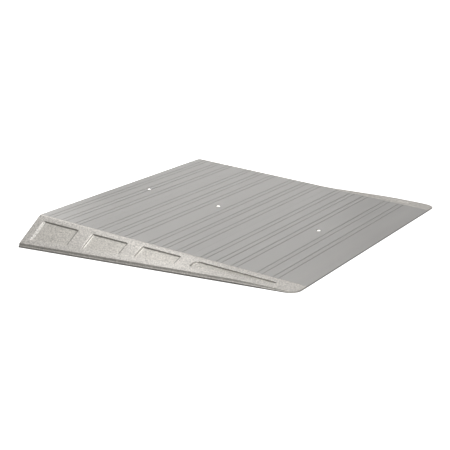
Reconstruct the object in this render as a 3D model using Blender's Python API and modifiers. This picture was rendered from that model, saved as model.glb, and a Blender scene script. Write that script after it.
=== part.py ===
"""Aluminium wheelchair threshold ramp: three grooved planks between two cast side wings.

X runs across the ramp, +Y runs up it towards the door sill and +Z is up. The origin is the middle of
the footprint, on the ground. All sizes are metres.
"""

import math

import bmesh
import bpy
from mathutils import Matrix, Vector

# Deck: overall sizes
deck_width = 0.9144
deck_run = 0.9144
rear_height = 0.078
toe_height = 0.004
clearance = 0.0003
ground_gap = 0.0005

# Deck: plank extrusions, measured down the slope
rear_plank_length = 0.1797
plank_length = 0.366
plank_depth = 0.020
skin_thickness = 0.0032
rib_thickness = 0.0032
rib_pitch = 0.0457
rib_foot_width = 0.012
rib_foot_thickness = 0.0025
box_rib_width = 0.026
box_roof_thickness = 0.0038
edge_web_thickness = 0.004
tongue_length = 0.010
tongue_thickness = 0.003
tongue_depth = 0.0064
socket_block_width = 0.0145
nose_land = 0.045
nose_radius = 0.0012
nose_steps = 4

# Deck: tread grooves
rear_groove_margin = 0.0285
groove_pair_pitch = 0.0510
groove_pair_gap = 0.0173
pairs_per_module = 3
nose_margin = 0.080
groove_width = 0.0028
groove_depth = 0.0013
groove_segments = 5

# Side wings
wing_rear_width = 0.112
wing_toe_width = 0.0665
wing_margin = 0.007
wing_corner_radius = 0.032
wing_corner_steps = 5
wing_body_steps = 10
bevel_strips = 3
lip_height = 0.0135
lip_toe_height = 0.0034
lip_taper_run = 0.235
lip_taper_steps = 6
lip_lean = 0.0020
lip_step = 0.0024
lip_foot_share = 0.42
wing_wall = 0.006
wing_skin = 0.0075
bevel_skin = 0.009
wing_rib = 0.006
wing_foot_width = 0.022
inner_foot_width = 0.016
inner_foot_height = 0.007
inner_foot_rise = 0.002

# Pockets in the wing's bevel: start and end, down the run from the rear edge
pocket_spans = ((0.0275, 0.1585), (0.2135, 0.339), (0.392, 0.522), (0.5745, 0.834))
pocket_top_offsets = ((0.022, 0.022), (0.022, 0.022), (0.0195, 0.0195), (0.0215, 0.026))
pocket_bottom_rear = 0.092
pocket_bottom_taper = 0.066
pocket_depth = 0.0035
pocket_draft = 0.0018
pocket_top_draft = 0.001
pocket_rear_draft = 0.0045
pocket_corner_radius = 0.004
last_pocket_top_radius = 0.018
pocket_corner_steps = 4
pocket_middle_steps = 4

# Shelf inside each wing, which carries the plank ends
shelf_width = 0.026
shelf_thickness = 0.005
support_end = 0.110
support_margin = 0.020

# Centre stringer
stringer_width = 0.060
stringer_wall = 0.006
stringer_roof = 0.006
stringer_foot_width = 0.015
stringer_foot_thickness = 0.0035
stringer_rear_setback = 0.010
stringer_bar_start = 0.245

# Rubber foot strips
strip_width = 0.012
strip_thickness = 0.002
strip_end_margin = 0.020
wing_strip_toe_margin = 0.150

# Screws in the tread
deck_screw_shank = 0.008
deck_screw_head = 0.0145
deck_screw_head_cone = 0.0040
deck_screw_recess = 0.0006
deck_screw_socket = 0.0050
deck_screw_length = 0.030
deck_screw_floor = 0.0016
toe_screw_distance = 0.1887
recess_mouth = 0.018

# Screws from below, through the shelves
shelf_screw_shank = 0.006
shelf_screw_head = 0.0113
shelf_screw_head_cone = 0.0030
shelf_screw_socket = 0.0040
shelf_screw_length = 0.0115
socket_depth = 0.0022
round_segments = 24
small_round_segments = 16
head_edge = 0.0003
tip_chamfer_share = 0.12
seat_reach = 0.004
seat_flare = 0.0036

# Shared by the cutters and the shading
cavity_steps = 3
cutter_reach = 0.010
sharp_angle = 30.0

# Worked out from the sizes above
half_deck = deck_width / 2
half_run = deck_run / 2
slope = math.atan2(rear_height - toe_height, deck_run)
slope_length = deck_run / math.cos(slope)
module_length = plank_length / 2
plank_starts = (0.0, rear_plank_length, rear_plank_length + plank_length)
plank_ends = (rear_plank_length, rear_plank_length + plank_length, slope_length)
deck_screw_stations = (
    rear_plank_length / 2,
    rear_plank_length + module_length,
    slope_length - toe_screw_distance,
)


def deck_z(down):
    """Height of the tread at a horizontal distance down from the rear edge."""
    return rear_height - down * math.tan(slope)


def down_of(station):
    """Horizontal distance from the rear edge of a point that lies on the tread's slope."""
    return station * math.cos(slope)


def underside_depth(station):
    """Depth of the planks' underside below the tread, square to the slope.

    The rear and middle planks have one depth. The toe plank thins in a straight line, until its
    underside meets the ground plane at the nose.
    """
    toe_start = plank_starts[2]
    if station <= toe_start:
        return plank_depth
    land = slope_length - nose_land
    land_depth = (deck_z(down_of(land)) - ground_gap) * math.cos(slope)
    share = (station - toe_start) / (land - toe_start)
    return plank_depth + share * (land_depth - plank_depth)


def underside_z(down):
    """Height of the planks' underside at a horizontal distance down from the rear edge."""
    station = down / math.cos(slope)
    return deck_z(down) - underside_depth(station) / math.cos(slope)


def tread_point(x, station, height):
    """World point on the slope: x across, station down the slope, height above the tread."""
    return Vector((
        x,
        half_run - station * math.cos(slope) - height * math.sin(slope),
        rear_height - station * math.sin(slope) + height * math.cos(slope),
    ))


def make_material(name, colour, roughness, metallic):
    """Principled material with the part's colour, roughness and metallic value."""
    material = bpy.data.materials.new(name)
    material.use_nodes = True
    shader = material.node_tree.nodes["Principled BSDF"]
    shader.inputs["Base Color"].default_value = (*colour, 1.0)
    shader.inputs["Roughness"].default_value = roughness
    shader.inputs["Metallic"].default_value = metallic
    material.diffuse_color = (*colour, 1.0)
    return material


def add_object(name, mesh, collection, material=None):
    """New object in a collection, with an optional material."""
    obj = bpy.data.objects.new(name, mesh)
    collection.objects.link(obj)
    if material:
        mesh.materials.clear()
        mesh.materials.append(material)
    return obj


def clear_scene():
    """Remove the objects and collections that the scene holds."""
    for obj in list(bpy.data.objects):
        bpy.data.objects.remove(obj, do_unlink=True)
    for collection in list(bpy.data.collections):
        bpy.data.collections.remove(collection)


def new_collection(name):
    """New collection in the scene."""
    collection = bpy.data.collections.new(name)
    bpy.context.scene.collection.children.link(collection)
    return collection


def cut(obj, cutter, operation="DIFFERENCE"):
    """Boolean modifier with a named cutter, which is hidden from renders."""
    cutter.hide_render = True
    cutter.display_type = "WIRE"
    modifier = obj.modifiers.new(cutter.name, "BOOLEAN")
    modifier.operation = operation
    modifier.solver = "EXACT"
    modifier.object = cutter


def loft(name, sections, collection, material=None):
    """Closed solid through like sections, each a ring of points in the same order."""
    bm = bmesh.new()
    rings = [[bm.verts.new(point) for point in section] for section in sections]
    count = len(rings[0])
    for ring, following in zip(rings, rings[1:]):
        for i in range(count):
            j = (i + 1) % count
            bm.faces.new((ring[i], ring[j], following[j], following[i]))
    bm.faces.new(rings[0])
    bm.faces.new(rings[-1])
    bm.normal_update()
    bmesh.ops.triangulate(bm, faces=bm.faces)
    bmesh.ops.recalc_face_normals(bm, faces=bm.faces)
    mesh = bpy.data.meshes.new(name)
    bm.to_mesh(mesh)
    bm.free()
    return add_object(name, mesh, collection, material)


def extrusion(name, outline, width, collection, material=None):
    """Closed outline in the slope's plane, extruded across the ramp.

    An outline point is (station down the slope, height above the tread). Each end is closed with
    one face, because the outline has many points in line.
    """
    curve = bpy.data.curves.new(name, "CURVE")
    curve.dimensions = "2D"
    curve.fill_mode = "NONE"
    curve.extrude = width / 2
    spline = curve.splines.new("POLY")
    spline.points.add(len(outline) - 1)
    spline.use_cyclic_u = True
    for point, (station, height) in zip(spline.points, outline):
        point.co = (station, height, 0.0, 1.0)
    guide = bpy.data.objects.new(name, curve)
    collection.objects.link(guide)
    bpy.context.view_layer.update()
    mesh = bpy.data.meshes.new_from_object(guide.evaluated_get(bpy.context.evaluated_depsgraph_get()))
    bpy.data.objects.remove(guide, do_unlink=True)
    mesh.name = name
    bm = bmesh.new()
    bm.from_mesh(mesh)
    bmesh.ops.remove_doubles(bm, verts=bm.verts, dist=0.00001)
    bmesh.ops.holes_fill(bm, edges=bm.edges, sides=0)
    bmesh.ops.recalc_face_normals(bm, faces=bm.faces)
    bm.to_mesh(mesh)
    bm.free()
    obj = add_object(name, mesh, collection, material)
    obj.matrix_world = Matrix((
        (0.0, 0.0, -1.0, 0.0),
        (-math.cos(slope), -math.sin(slope), 0.0, half_run),
        (-math.sin(slope), math.cos(slope), 0.0, rear_height),
        (0.0, 0.0, 0.0, 1.0),
    ))
    return obj


def groove_notch(centre):
    """Tread points of one rounded groove, from its up-slope side to its down-slope side."""
    points = []
    for i in range(groove_segments + 1):
        turn = math.pi * i / groove_segments
        points.append((centre - math.cos(turn) * groove_width / 2, -math.sin(turn) * groove_depth))
    return points


def groove_centres(first, pairs):
    """Centre lines of a run of groove pairs."""
    centres = []
    for pair in range(pairs):
        start = first + pair * groove_pair_pitch
        centres += [start, start + groove_pair_gap]
    return centres


def module_margin():
    """Distance from a module's edge to its first groove, the same on both sides."""
    group = (pairs_per_module - 1) * groove_pair_pitch + groove_pair_gap
    return (module_length - group) / 2


def underside_ribs(spans, first, last):
    """Underside points from the down-slope end back to the up-slope end, around the ribs.

    spans lists (low station, high station, foot) for each rib, in order down the slope. A foot
    is a flange of the width rib_foot_width at the rib's end.
    """
    points = [(last, -skin_thickness)]
    for low, high, foot in reversed(spans):
        deep_high = -underside_depth(high)
        deep_low = -underside_depth(low)
        if foot:
            spread = (rib_foot_width - rib_thickness) / 2
            points += [
                (high, -skin_thickness),
                (high, deep_high + rib_foot_thickness),
                (high + spread, -underside_depth(high + spread) + rib_foot_thickness),
                (high + spread, -underside_depth(high + spread)),
                (low - spread, -underside_depth(low - spread)),
                (low - spread, -underside_depth(low - spread) + rib_foot_thickness),
                (low, deep_low + rib_foot_thickness),
                (low, -skin_thickness),
            ]
        else:
            points += [(high, -skin_thickness), (high, deep_high), (low, deep_low), (low, -skin_thickness)]
    points.append((first, -skin_thickness))
    return points


def rib_line(index):
    """Rib centres of a plank, on the rib pitch about its screw and clear of the plank's edges."""
    start = plank_starts[index]
    end = min(plank_ends[index], slope_length - nose_land)
    screw = deck_screw_stations[index]
    clear = rib_foot_width + socket_block_width
    count = int((end - start) / rib_pitch) + 1
    centres = [screw + step * rib_pitch for step in range(-count, count + 1)]
    return [centre for centre in centres if start + clear < centre < end - clear]


def box_line(index):
    """Centres of a plank's box ribs, every second rib that the wings' shelves reach."""
    screw = deck_screw_stations[index]
    reach = shelf_toe_down() / math.cos(slope) - support_margin
    every_second = [c for c in rib_line(index) if round((c - screw) / rib_pitch) % 2 == 0]
    return [centre for centre in every_second if centre < reach]


def rib_spans(index):
    """Spans of a plank's plain footed ribs and of the wide box ribs that take the screws."""
    boxes = box_line(index)
    spans = [(c - box_rib_width / 2, c + box_rib_width / 2, False) for c in boxes]
    for centre in rib_line(index):
        if centre not in boxes:
            spans.append((centre - rib_thickness / 2, centre + rib_thickness / 2, True))
    return sorted(spans)


def box_hollow(centre):
    """Hollow of a box rib, which leaves its walls and its floor."""
    low = centre - box_rib_width / 2 + rib_thickness
    high = centre + box_rib_width / 2 - rib_thickness
    return [
        (low, -box_roof_thickness),
        (high, -box_roof_thickness),
        (high, -underside_depth(high) + rib_thickness),
        (low, -underside_depth(low) + rib_thickness),
    ]


def tongue_edge(seam):
    """Down-slope edge of a plank: a tongue at mid depth, then the web below it."""
    face = seam - clearance / 2
    tip = face + tongue_length
    low = -tongue_depth - tongue_thickness
    return [
        (face, 0.0),
        (face, -tongue_depth),
        (tip, -tongue_depth),
        (tip, low),
        (face, low),
        (face, -underside_depth(face)),
        (face - edge_web_thickness, -underside_depth(face)),
    ]


def socket_edge(seam):
    """Up-slope edge of a plank, from its block's inner foot up to the tread, around the socket."""
    face = seam + clearance / 2
    reach = face + tongue_length + clearance
    high = -tongue_depth + clearance
    low = -tongue_depth - tongue_thickness - clearance
    inner = face + socket_block_width
    return [
        (inner, -underside_depth(inner)),
        (face, -underside_depth(face)),
        (face, low),
        (reach, low),
        (reach, high),
        (face, high),
        (face, 0.0),
    ]


def tread(centres):
    """Tread points with all grooves, down the slope."""
    points = []
    for centre in centres:
        points += groove_notch(centre)
    return points


def module_grooves(start, last):
    """Grooves of the whole modules from a station on, as far as a last station."""
    centres = []
    while start < last:
        centres += groove_centres(start + module_margin(), pairs_per_module)
        start += module_length
    return [(low, high) for low, high in zip(centres[0::2], centres[1::2]) if high < last]


def make_plank(name, outline, index, collections, material):
    """Plank from its outline, with the hollows of its box ribs cut right through."""
    parts, cutters = collections
    plank = extrusion(name, outline, deck_width - 2 * clearance, parts, material)
    for i, centre in enumerate(box_line(index), 1):
        cut(plank, extrusion(f"{name}_hollow_{i}", box_hollow(centre), deck_width + 2 * cutter_reach, cutters))
    return plank


def make_rear_plank(collections, material):
    """Rear plank: upright rear web, three groove pairs and a tongue at its down-slope edge."""
    seam = plank_ends[0]
    outline = [(0.0, 0.0)]
    outline += tread(groove_centres(rear_groove_margin, pairs_per_module))
    outline += tongue_edge(seam)
    lean = plank_depth * math.tan(slope)
    outline += underside_ribs(rib_spans(0), edge_web_thickness, seam - clearance / 2 - edge_web_thickness)
    outline += [(edge_web_thickness + lean, -plank_depth), (lean, -plank_depth)]
    return make_plank("rear_plank", outline, 0, collections, material)


def make_middle_plank(collections, material):
    """Middle plank: two modules of three groove pairs, a socket edge and a tongue edge."""
    start = plank_starts[1]
    seam = plank_ends[1]
    grooves = [centre for pair in module_grooves(start, seam) for centre in pair]
    inner = start + clearance / 2 + socket_block_width
    outline = socket_edge(start) + tread(grooves) + tongue_edge(seam)
    outline += underside_ribs(rib_spans(1), inner, seam - clearance / 2 - edge_web_thickness)
    return make_plank("middle_plank", outline, 1, collections, material)


def nose_points():
    """Rounded toe edge of the toe plank, then its face down to the ground plane."""
    points = []
    for i in range(nose_steps + 1):
        turn = math.pi / 2 * i / nose_steps
        points.append((
            slope_length - nose_radius + nose_radius * math.sin(turn),
            -nose_radius + nose_radius * math.cos(turn),
        ))
    face = (toe_height - ground_gap) * math.cos(slope)
    points.append((slope_length + face * math.tan(slope), -face))
    return points


def make_toe_plank(collections, material):
    """Toe plank: a full module, more groove pairs and a solid nose that meets the ground."""
    start = plank_starts[2]
    grooves = [centre for pair in module_grooves(start, slope_length - nose_margin) for centre in pair]
    inner = start + clearance / 2 + socket_block_width
    land = slope_length - nose_land
    outline = socket_edge(start) + tread(grooves) + nose_points()
    outline.append((land, -underside_depth(land)))
    outline += underside_ribs(rib_spans(2), inner, land)
    return make_plank("toe_plank", outline, 2, collections, material)


def wing_width(down):
    """Width of a wing's footprint at a distance down from the rear edge, with its round corner."""
    straight = wing_rear_width + (wing_toe_width - wing_rear_width) * down / deck_run
    into_corner = down - (deck_run - wing_corner_radius)
    if into_corner <= 0.0:
        return straight
    into_corner = min(into_corner, wing_corner_radius)
    return straight - wing_corner_radius + math.sqrt(wing_corner_radius ** 2 - into_corner ** 2)


def lip_z(down):
    """Height of the lip's top edge: level, then falling to the toe."""
    left = deck_run - down
    share = min(left / lip_taper_run, 1.0)
    smooth = share * (2.0 - share)
    return lip_toe_height + (lip_height - lip_toe_height) * smooth


def lip_points(down):
    """Lip outline at one station, from its top edge to the ground, as (offset, height)."""
    width = wing_width(down)
    top = lip_z(down)
    scale = (top - ground_gap) / (lip_height - ground_gap)
    foot = ground_gap + lip_foot_share * (top - ground_gap)
    lean = lip_lean * scale
    step = lip_step * scale
    return [
        (width - lean - step, top),
        (width - step, foot + step / 2),
        (width, foot),
        (width, ground_gap),
    ]


def bevel_z(down, offset):
    """Height of the wing's upper surface at an offset out from the deck edge."""
    if offset <= wing_margin:
        return deck_z(down)
    edge, top = lip_points(down)[0]
    share = (offset - wing_margin) / (edge - wing_margin)
    return deck_z(down) + share * (top - deck_z(down))


def wing_point(side, down, offset, z):
    """World point of a wing: side is -1 for the left wing and 1 for the right."""
    return Vector((side * (half_deck + offset), half_run - down, z))


def wing_stations():
    """Stations of the wing's main loft: the two ends, the lip's taper and the round corner."""
    start = deck_run - lip_taper_run
    end = deck_run - wing_corner_radius
    stations = [start * i / wing_body_steps for i in range(wing_body_steps)]
    stations += [start + (end - start) * i / lip_taper_steps for i in range(lip_taper_steps + 1)]
    for i in range(1, wing_corner_steps + 1):
        turn = math.pi / 2 * i / wing_corner_steps
        stations.append(end + wing_corner_radius * math.sin(turn))
    return stations


def make_wing_body(name, side, collection, material):
    """Outer form of a wing: margin, warped bevel, stepped lip and round toe corner."""
    sections = []
    for down in wing_stations():
        outline = [(clearance / 2, ground_gap), (clearance / 2, deck_z(down)), (wing_margin, deck_z(down))]
        edge = lip_points(down)[0][0]
        for i in range(1, bevel_strips):
            offset = wing_margin + (edge - wing_margin) * i / bevel_strips
            outline.append((offset, bevel_z(down, offset)))
        outline += lip_points(down)
        sections.append([wing_point(side, down, offset, z) for offset, z in outline])
    return loft(name, sections, collection, material)


def shelf_toe_down():
    """Distance down the run at which the shelves and the stringer end."""
    return deck_run - support_end


def make_shelf(name, side, collection):
    """Shelf inside a wing, from the rear face to its toe end, under the plank ends."""
    sections = []
    for down in (0.0, down_of(plank_starts[2]), shelf_toe_down()):
        top = underside_z(down) - clearance
        low = max(ground_gap, top - shelf_thickness)
        outline = [
            (-shelf_width, low),
            (-shelf_width, top),
            (wing_wall / 2, top),
            (wing_wall / 2, low),
        ]
        sections.append([wing_point(side, down, offset, z) for offset, z in outline])
    return loft(name, sections, collection)


def make_cavity(name, side, start, end, collection):
    """Hollow under the bevel between two casting ribs, open to the ground."""
    sections = []
    below = -cutter_reach
    for i in range(cavity_steps + 1):
        down = start + (end - start) * i / cavity_steps
        outer = wing_width(down) - wing_foot_width
        slope_drop = bevel_z(down, outer) - bevel_skin
        outline = [
            (inner_foot_width, below),
            (inner_foot_width, inner_foot_height),
            (wing_wall, inner_foot_height + inner_foot_rise),
            (wing_wall, deck_z(down) - wing_skin),
            (wing_margin, deck_z(down) - wing_skin),
            (outer, slope_drop),
            (outer, below),
        ]
        sections.append([wing_point(side, down, offset, z) for offset, z in outline])
    return loft(name, sections, collection)


def cavity_spans():
    """Spans of the cavities: one from the rear wall to each rib in turn, ribs between pockets."""
    edges = [wing_rib]
    for (_, pocket_end), (next_start, _) in zip(pocket_spans, pocket_spans[1:]):
        middle = (pocket_end + next_start) / 2
        edges += [middle - wing_rib / 2, middle + wing_rib / 2]
    edges.append(deck_run - lip_taper_run - wing_rib)
    return list(zip(edges[0::2], edges[1::2]))


def pocket_bottom(down):
    """Offset of the pockets' outer side at a distance down from the rear edge."""
    return pocket_bottom_rear - pocket_bottom_taper * down


def corner_inset(distance, radius):
    """How far a round corner draws a pocket's side in, at a distance from the pocket's end."""
    into = max(radius - distance, 0.0)
    return radius - math.sqrt(max(radius ** 2 - into ** 2, 0.0))


def pocket_side(pocket, share, lift):
    """Inner and outer offsets and the station of a pocket at a share of its length.

    lift is 1 for the floor, 0 for the bevel's surface and -1 for the cutter's mouth above it. The
    sides lean in by their draft from the surface to the floor.
    """
    start, end, low_start, low_end, top_radius = pocket
    start += lift * pocket_rear_draft
    end -= lift * pocket_draft
    down = start + share * (end - start)
    low = low_start + share * (low_end - low_start) + lift * pocket_top_draft
    high = pocket_bottom(down) - lift * pocket_draft
    end_inset = corner_inset(end - down, pocket_corner_radius)
    low += max(corner_inset(down - start, top_radius), end_inset)
    high -= max(corner_inset(down - start, pocket_corner_radius), end_inset)
    return down, low, high


def make_pocket(name, side, pocket, collection):
    """Cutter of one pocket: drafted walls and a floor that follows the warped bevel.

    The corner at the top of its rear end has a radius of its own.
    """
    start, end, _, _, top_radius = pocket
    length = end - start
    turns = [math.pi / 2 * i / pocket_corner_steps for i in range(pocket_corner_steps + 1)]
    rear = [top_radius * (1.0 - math.cos(turn)) for turn in turns]
    toe = [pocket_corner_radius * (1.0 - math.cos(turn)) for turn in turns]
    straight = length - rear[-1] - toe[-1]
    middle = [rear[-1] + straight * i / pocket_middle_steps for i in range(1, pocket_middle_steps)]
    sections = []
    for distance in rear + middle + [length - step for step in reversed(toe)]:
        down, low, high = pocket_side(pocket, distance / length, 1)
        above, above_low, above_high = pocket_side(pocket, distance / length, -1)
        section = [
            wing_point(side, down, low, bevel_z(down, low) - pocket_depth),
            wing_point(side, above, above_low, bevel_z(above, above_low) + pocket_depth),
            wing_point(side, above, above_high, bevel_z(above, above_high) + pocket_depth),
            wing_point(side, down, high, bevel_z(down, high) - pocket_depth),
        ]
        sections.append(section)
    return loft(name, sections, collection)


def turned(name, profile, segments, collection):
    """Turned solid about its own Z axis from (radius, height) points, top to bottom."""
    bm = bmesh.new()
    verts = [bm.verts.new((radius, 0.0, height)) for radius, height in profile]
    for a, b in zip(verts, verts[1:]):
        bm.edges.new((a, b))
    mesh = bpy.data.meshes.new(name)
    bm.to_mesh(mesh)
    bm.free()
    obj = add_object(name, mesh, collection)
    screw = obj.modifiers.new("Turn", "SCREW")
    screw.axis = "Z"
    screw.steps = segments
    screw.render_steps = segments
    screw.use_merge_vertices = True
    screw.merge_threshold = 0.00001
    bpy.context.view_layer.update()
    solid = bpy.data.meshes.new_from_object(obj.evaluated_get(bpy.context.evaluated_depsgraph_get()))
    obj.modifiers.clear()
    obj.data = solid
    solid.name = name
    return obj


def place(obj, point, up):
    """Stand an object's own Z axis along a direction, with its origin at a point."""
    turn = up.to_track_quat("Z", "Y").to_matrix().to_4x4()
    obj.matrix_world = Matrix.Translation(point) @ turn


def hex_cutter(name, across, depth, collection):
    """Hexagon prism for a drive socket, its top just above the screw's head."""
    bm = bmesh.new()
    bmesh.ops.create_cone(
        bm, cap_ends=True, segments=6, radius1=across / math.sqrt(3), radius2=across / math.sqrt(3),
        depth=2 * depth,
    )
    mesh = bpy.data.meshes.new(name)
    bm.to_mesh(mesh)
    bm.free()
    return add_object(name, mesh, collection)


def countersunk_screw(name, head, cone, shank, length, socket, segments, collections, material):
    """Countersunk screw: origin at the middle of its head's face, shank down its own -Z."""
    parts, cutters = collections
    tip_chamfer = shank * tip_chamfer_share
    profile = [
        (0.0, 0.0),
        (head / 2 - head_edge, 0.0),
        (head / 2, -head_edge),
        (shank / 2, -cone),
        (shank / 2, -length + tip_chamfer),
        (shank / 2 - tip_chamfer, -length),
        (0.0, -length),
    ]
    screw = turned(name, profile, segments, parts)
    screw.data.materials.append(material)
    drive = hex_cutter(name + "_socket", socket, socket_depth, cutters)
    drive.parent = screw
    cut(screw, drive)
    return screw


def screw_seat(name, head, cone, shank, length, mouth, recess, segments, cutters):
    """Cutter for a countersunk screw's seat and hole, clear of the screw all round."""
    seat_radius = head / 2 + clearance
    hole_radius = shank / 2 + clearance
    wide = seat_radius + seat_flare
    if recess > 0.0:
        wide = seat_radius + (mouth / 2 - seat_radius) * (recess + seat_reach) / recess
    profile = [
        (0.0, seat_reach),
        (wide, seat_reach),
        (seat_radius, 0.0),
        (seat_radius, -head_edge - clearance),
        (hole_radius, -cone - clearance),
        (hole_radius, -length - clearance),
        (0.0, -length - clearance),
    ]
    return turned(name, profile, segments, cutters)


def make_deck_screws(pieces, collections, material):
    """Three screws on the centre line, one through the middle of each plank."""
    up = Vector((0.0, -math.sin(slope), math.cos(slope)))
    toe_screw_height = deck_z(down_of(deck_screw_stations[2])) - ground_gap - deck_screw_floor
    short_length = toe_screw_height * math.cos(slope) - deck_screw_recess
    lengths = (deck_screw_length, deck_screw_length, short_length)
    planks = (pieces["rear_plank"], pieces["middle_plank"], pieces["toe_plank"])
    for i, (station, length, plank) in enumerate(zip(deck_screw_stations, lengths, planks), 1):
        point = tread_point(0.0, station, -deck_screw_recess)
        screw = countersunk_screw(
            f"deck_screw_{i}", deck_screw_head, deck_screw_head_cone, deck_screw_shank, length,
            deck_screw_socket, round_segments, collections, material,
        )
        place(screw, point, up)
        seat = screw_seat(
            f"deck_screw_seat_{i}", deck_screw_head, deck_screw_head_cone, deck_screw_shank, length,
            recess_mouth, deck_screw_recess, round_segments, collections[1],
        )
        place(seat, point, up)
        cut(plank, seat)
        cut(pieces["centre_stringer"], seat)


def make_shelf_screws(pieces, collections, material):
    """Screws from below, through each wing's shelf and into the planks' box ribs."""
    names = ("rear_plank", "middle_plank", "toe_plank")
    places = [(station, name) for index, name in enumerate(names) for station in box_line(index)]
    for side, label in ((-1, "left"), (1, "right")):
        for i, (station, plank) in enumerate(places, 1):
            down = down_of(station)
            tilt = slope if station < plank_starts[2] else underside_tilt()
            shelf_low = underside_z(down) - clearance - shelf_thickness
            into = Vector((0.0, -math.sin(tilt), math.cos(tilt)))
            point = Vector((side * (half_deck - shelf_width / 2), half_run - down, shelf_low))
            screw = countersunk_screw(
                f"shelf_screw_{label}_{i}", shelf_screw_head, shelf_screw_head_cone,
                shelf_screw_shank, shelf_screw_length, shelf_screw_socket, small_round_segments,
                collections, material,
            )
            place(screw, point, -into)
            seat = screw_seat(
                f"shelf_screw_seat_{label}_{i}", shelf_screw_head, shelf_screw_head_cone,
                shelf_screw_shank, shelf_screw_length, shelf_screw_head, 0.0, small_round_segments,
                collections[1],
            )
            place(seat, point, -into)
            cut(pieces[plank], seat)
            cut(pieces[f"side_wing_{label}"], seat)


def underside_tilt():
    """Slope of the toe plank's underside."""
    start = down_of(plank_starts[2])
    end = shelf_toe_down()
    return math.atan2(underside_z(start) - underside_z(end), end - start)


def stringer_section(down, low, outer):
    """Section of the stringer at one station: its web block and a foot on each side."""
    top = underside_z(down) - clearance
    half = stringer_width / 2
    foot = min(low + stringer_foot_thickness, (low + top) / 2)
    outline = [
        (-half, top), (half, top), (half, foot), (outer, foot), (outer, low),
        (-outer, low), (-outer, foot), (-half, foot),
    ]
    return [Vector((x, half_run - down, z)) for x, z in outline]


def make_stringer(collections, material):
    """Centre stringer: a hat section that tapers down the run into a solid bar at its toe end."""
    parts, cutters = collections
    rear = stringer_rear_setback
    knee = down_of(plank_starts[2])
    bar = deck_run - stringer_bar_start
    raised = strip_thickness + clearance
    wide = stringer_width / 2 + stringer_foot_width
    narrow = stringer_width / 2 + stringer_foot_width / 4
    sections = [
        stringer_section(rear, raised, wide),
        stringer_section(knee, raised, wide),
        stringer_section(bar, raised, wide),
        stringer_section(bar + stringer_foot_width, ground_gap, narrow),
        stringer_section(shelf_toe_down(), ground_gap, narrow),
    ]
    stringer = loft("centre_stringer", sections, parts, material)
    inner = stringer_width / 2 - stringer_wall
    hollow = []
    for down in (rear - stringer_wall, knee, knee + stringer_foot_width * 2):
        roof = underside_z(down) - clearance - stringer_roof
        hollow.append([
            Vector((x, half_run - down, z))
            for x, z in ((-inner, roof), (inner, roof), (inner, -raised), (-inner, -raised))
        ])
    cut(stringer, loft("stringer_hollow", hollow, cutters))
    return stringer


def box_between(name, start, end, width, low, high, collection, material=None):
    """Straight strip between two ground points, of one width and from one height to another."""
    along = (end - start).normalized()
    across = Vector((-along.y, along.x, 0.0)) * width / 2
    sections = []
    for point in (start, end):
        sections.append([
            Vector((point.x + across.x, point.y + across.y, low)),
            Vector((point.x + across.x, point.y + across.y, high)),
            Vector((point.x - across.x, point.y - across.y, high)),
            Vector((point.x - across.x, point.y - across.y, low)),
        ])
    return loft(name, sections, collection, material)


def wing_strip_line(side, offset_rule):
    """Start and end of a wing's foot strip on the ground."""
    rear = strip_end_margin
    toe = deck_run - wing_strip_toe_margin
    return [wing_point(side, down, offset_rule(down), 0.0) for down in (rear, toe)]


def make_foot_strips(pieces, collections, material):
    """Rubber strips under the wings, each in a channel, and under the stringer's feet."""
    parts, cutters = collections
    rules = {
        "outer": lambda down: wing_width(down) - wing_foot_width / 2,
        "inner": lambda down: inner_foot_width / 2,
    }
    for side, label in ((-1, "left"), (1, "right")):
        for place_name, rule in rules.items():
            start, end = wing_strip_line(side, rule)
            name = f"foot_strip_{label}_{place_name}"
            box_between(name, start, end, strip_width, 0.0, strip_thickness, parts, material)
            along = (end - start).normalized() * clearance
            channel = box_between(
                name + "_channel", start - along, end + along, strip_width + 2 * clearance,
                -strip_thickness, strip_thickness + clearance, cutters,
            )
            cut(pieces[f"side_wing_{label}"], channel)
        x = side * (stringer_width / 2 + stringer_foot_width - strip_width / 2)
        rear = Vector((x, half_run - stringer_rear_setback, 0.0))
        toe = Vector((x, half_run - (deck_run - stringer_bar_start), 0.0))
        box_between(
            f"foot_strip_centre_{label}", rear, toe, strip_width, 0.0, strip_thickness, parts, material,
        )


def make_wing(label, side, collections, material):
    """Side wing casting: outer form, shelf, cavities and pockets."""
    parts, cutters = collections
    wing = make_wing_body(f"side_wing_{label}", side, parts, material)
    for i, (start, end) in enumerate(cavity_spans(), 1):
        cut(wing, make_cavity(f"wing_cavity_{label}_{i}", side, start, end, cutters))
    radii = [pocket_corner_radius] * (len(pocket_spans) - 1) + [last_pocket_top_radius]
    for i, (span, top, radius) in enumerate(zip(pocket_spans, pocket_top_offsets, radii), 1):
        cut(wing, make_pocket(f"wing_pocket_{label}_{i}", side, (*span, *top, radius), cutters))
    cut(wing, make_shelf(f"wing_shelf_{label}", side, cutters), "UNION")
    return wing


def shade(collection):
    """Smooth shading with sharp edges kept, for the turned screws and the grooves."""
    for obj in collection.objects:
        obj.data.shade_smooth()
        obj.data.set_sharp_from_angle(angle=math.radians(sharp_angle))


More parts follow.
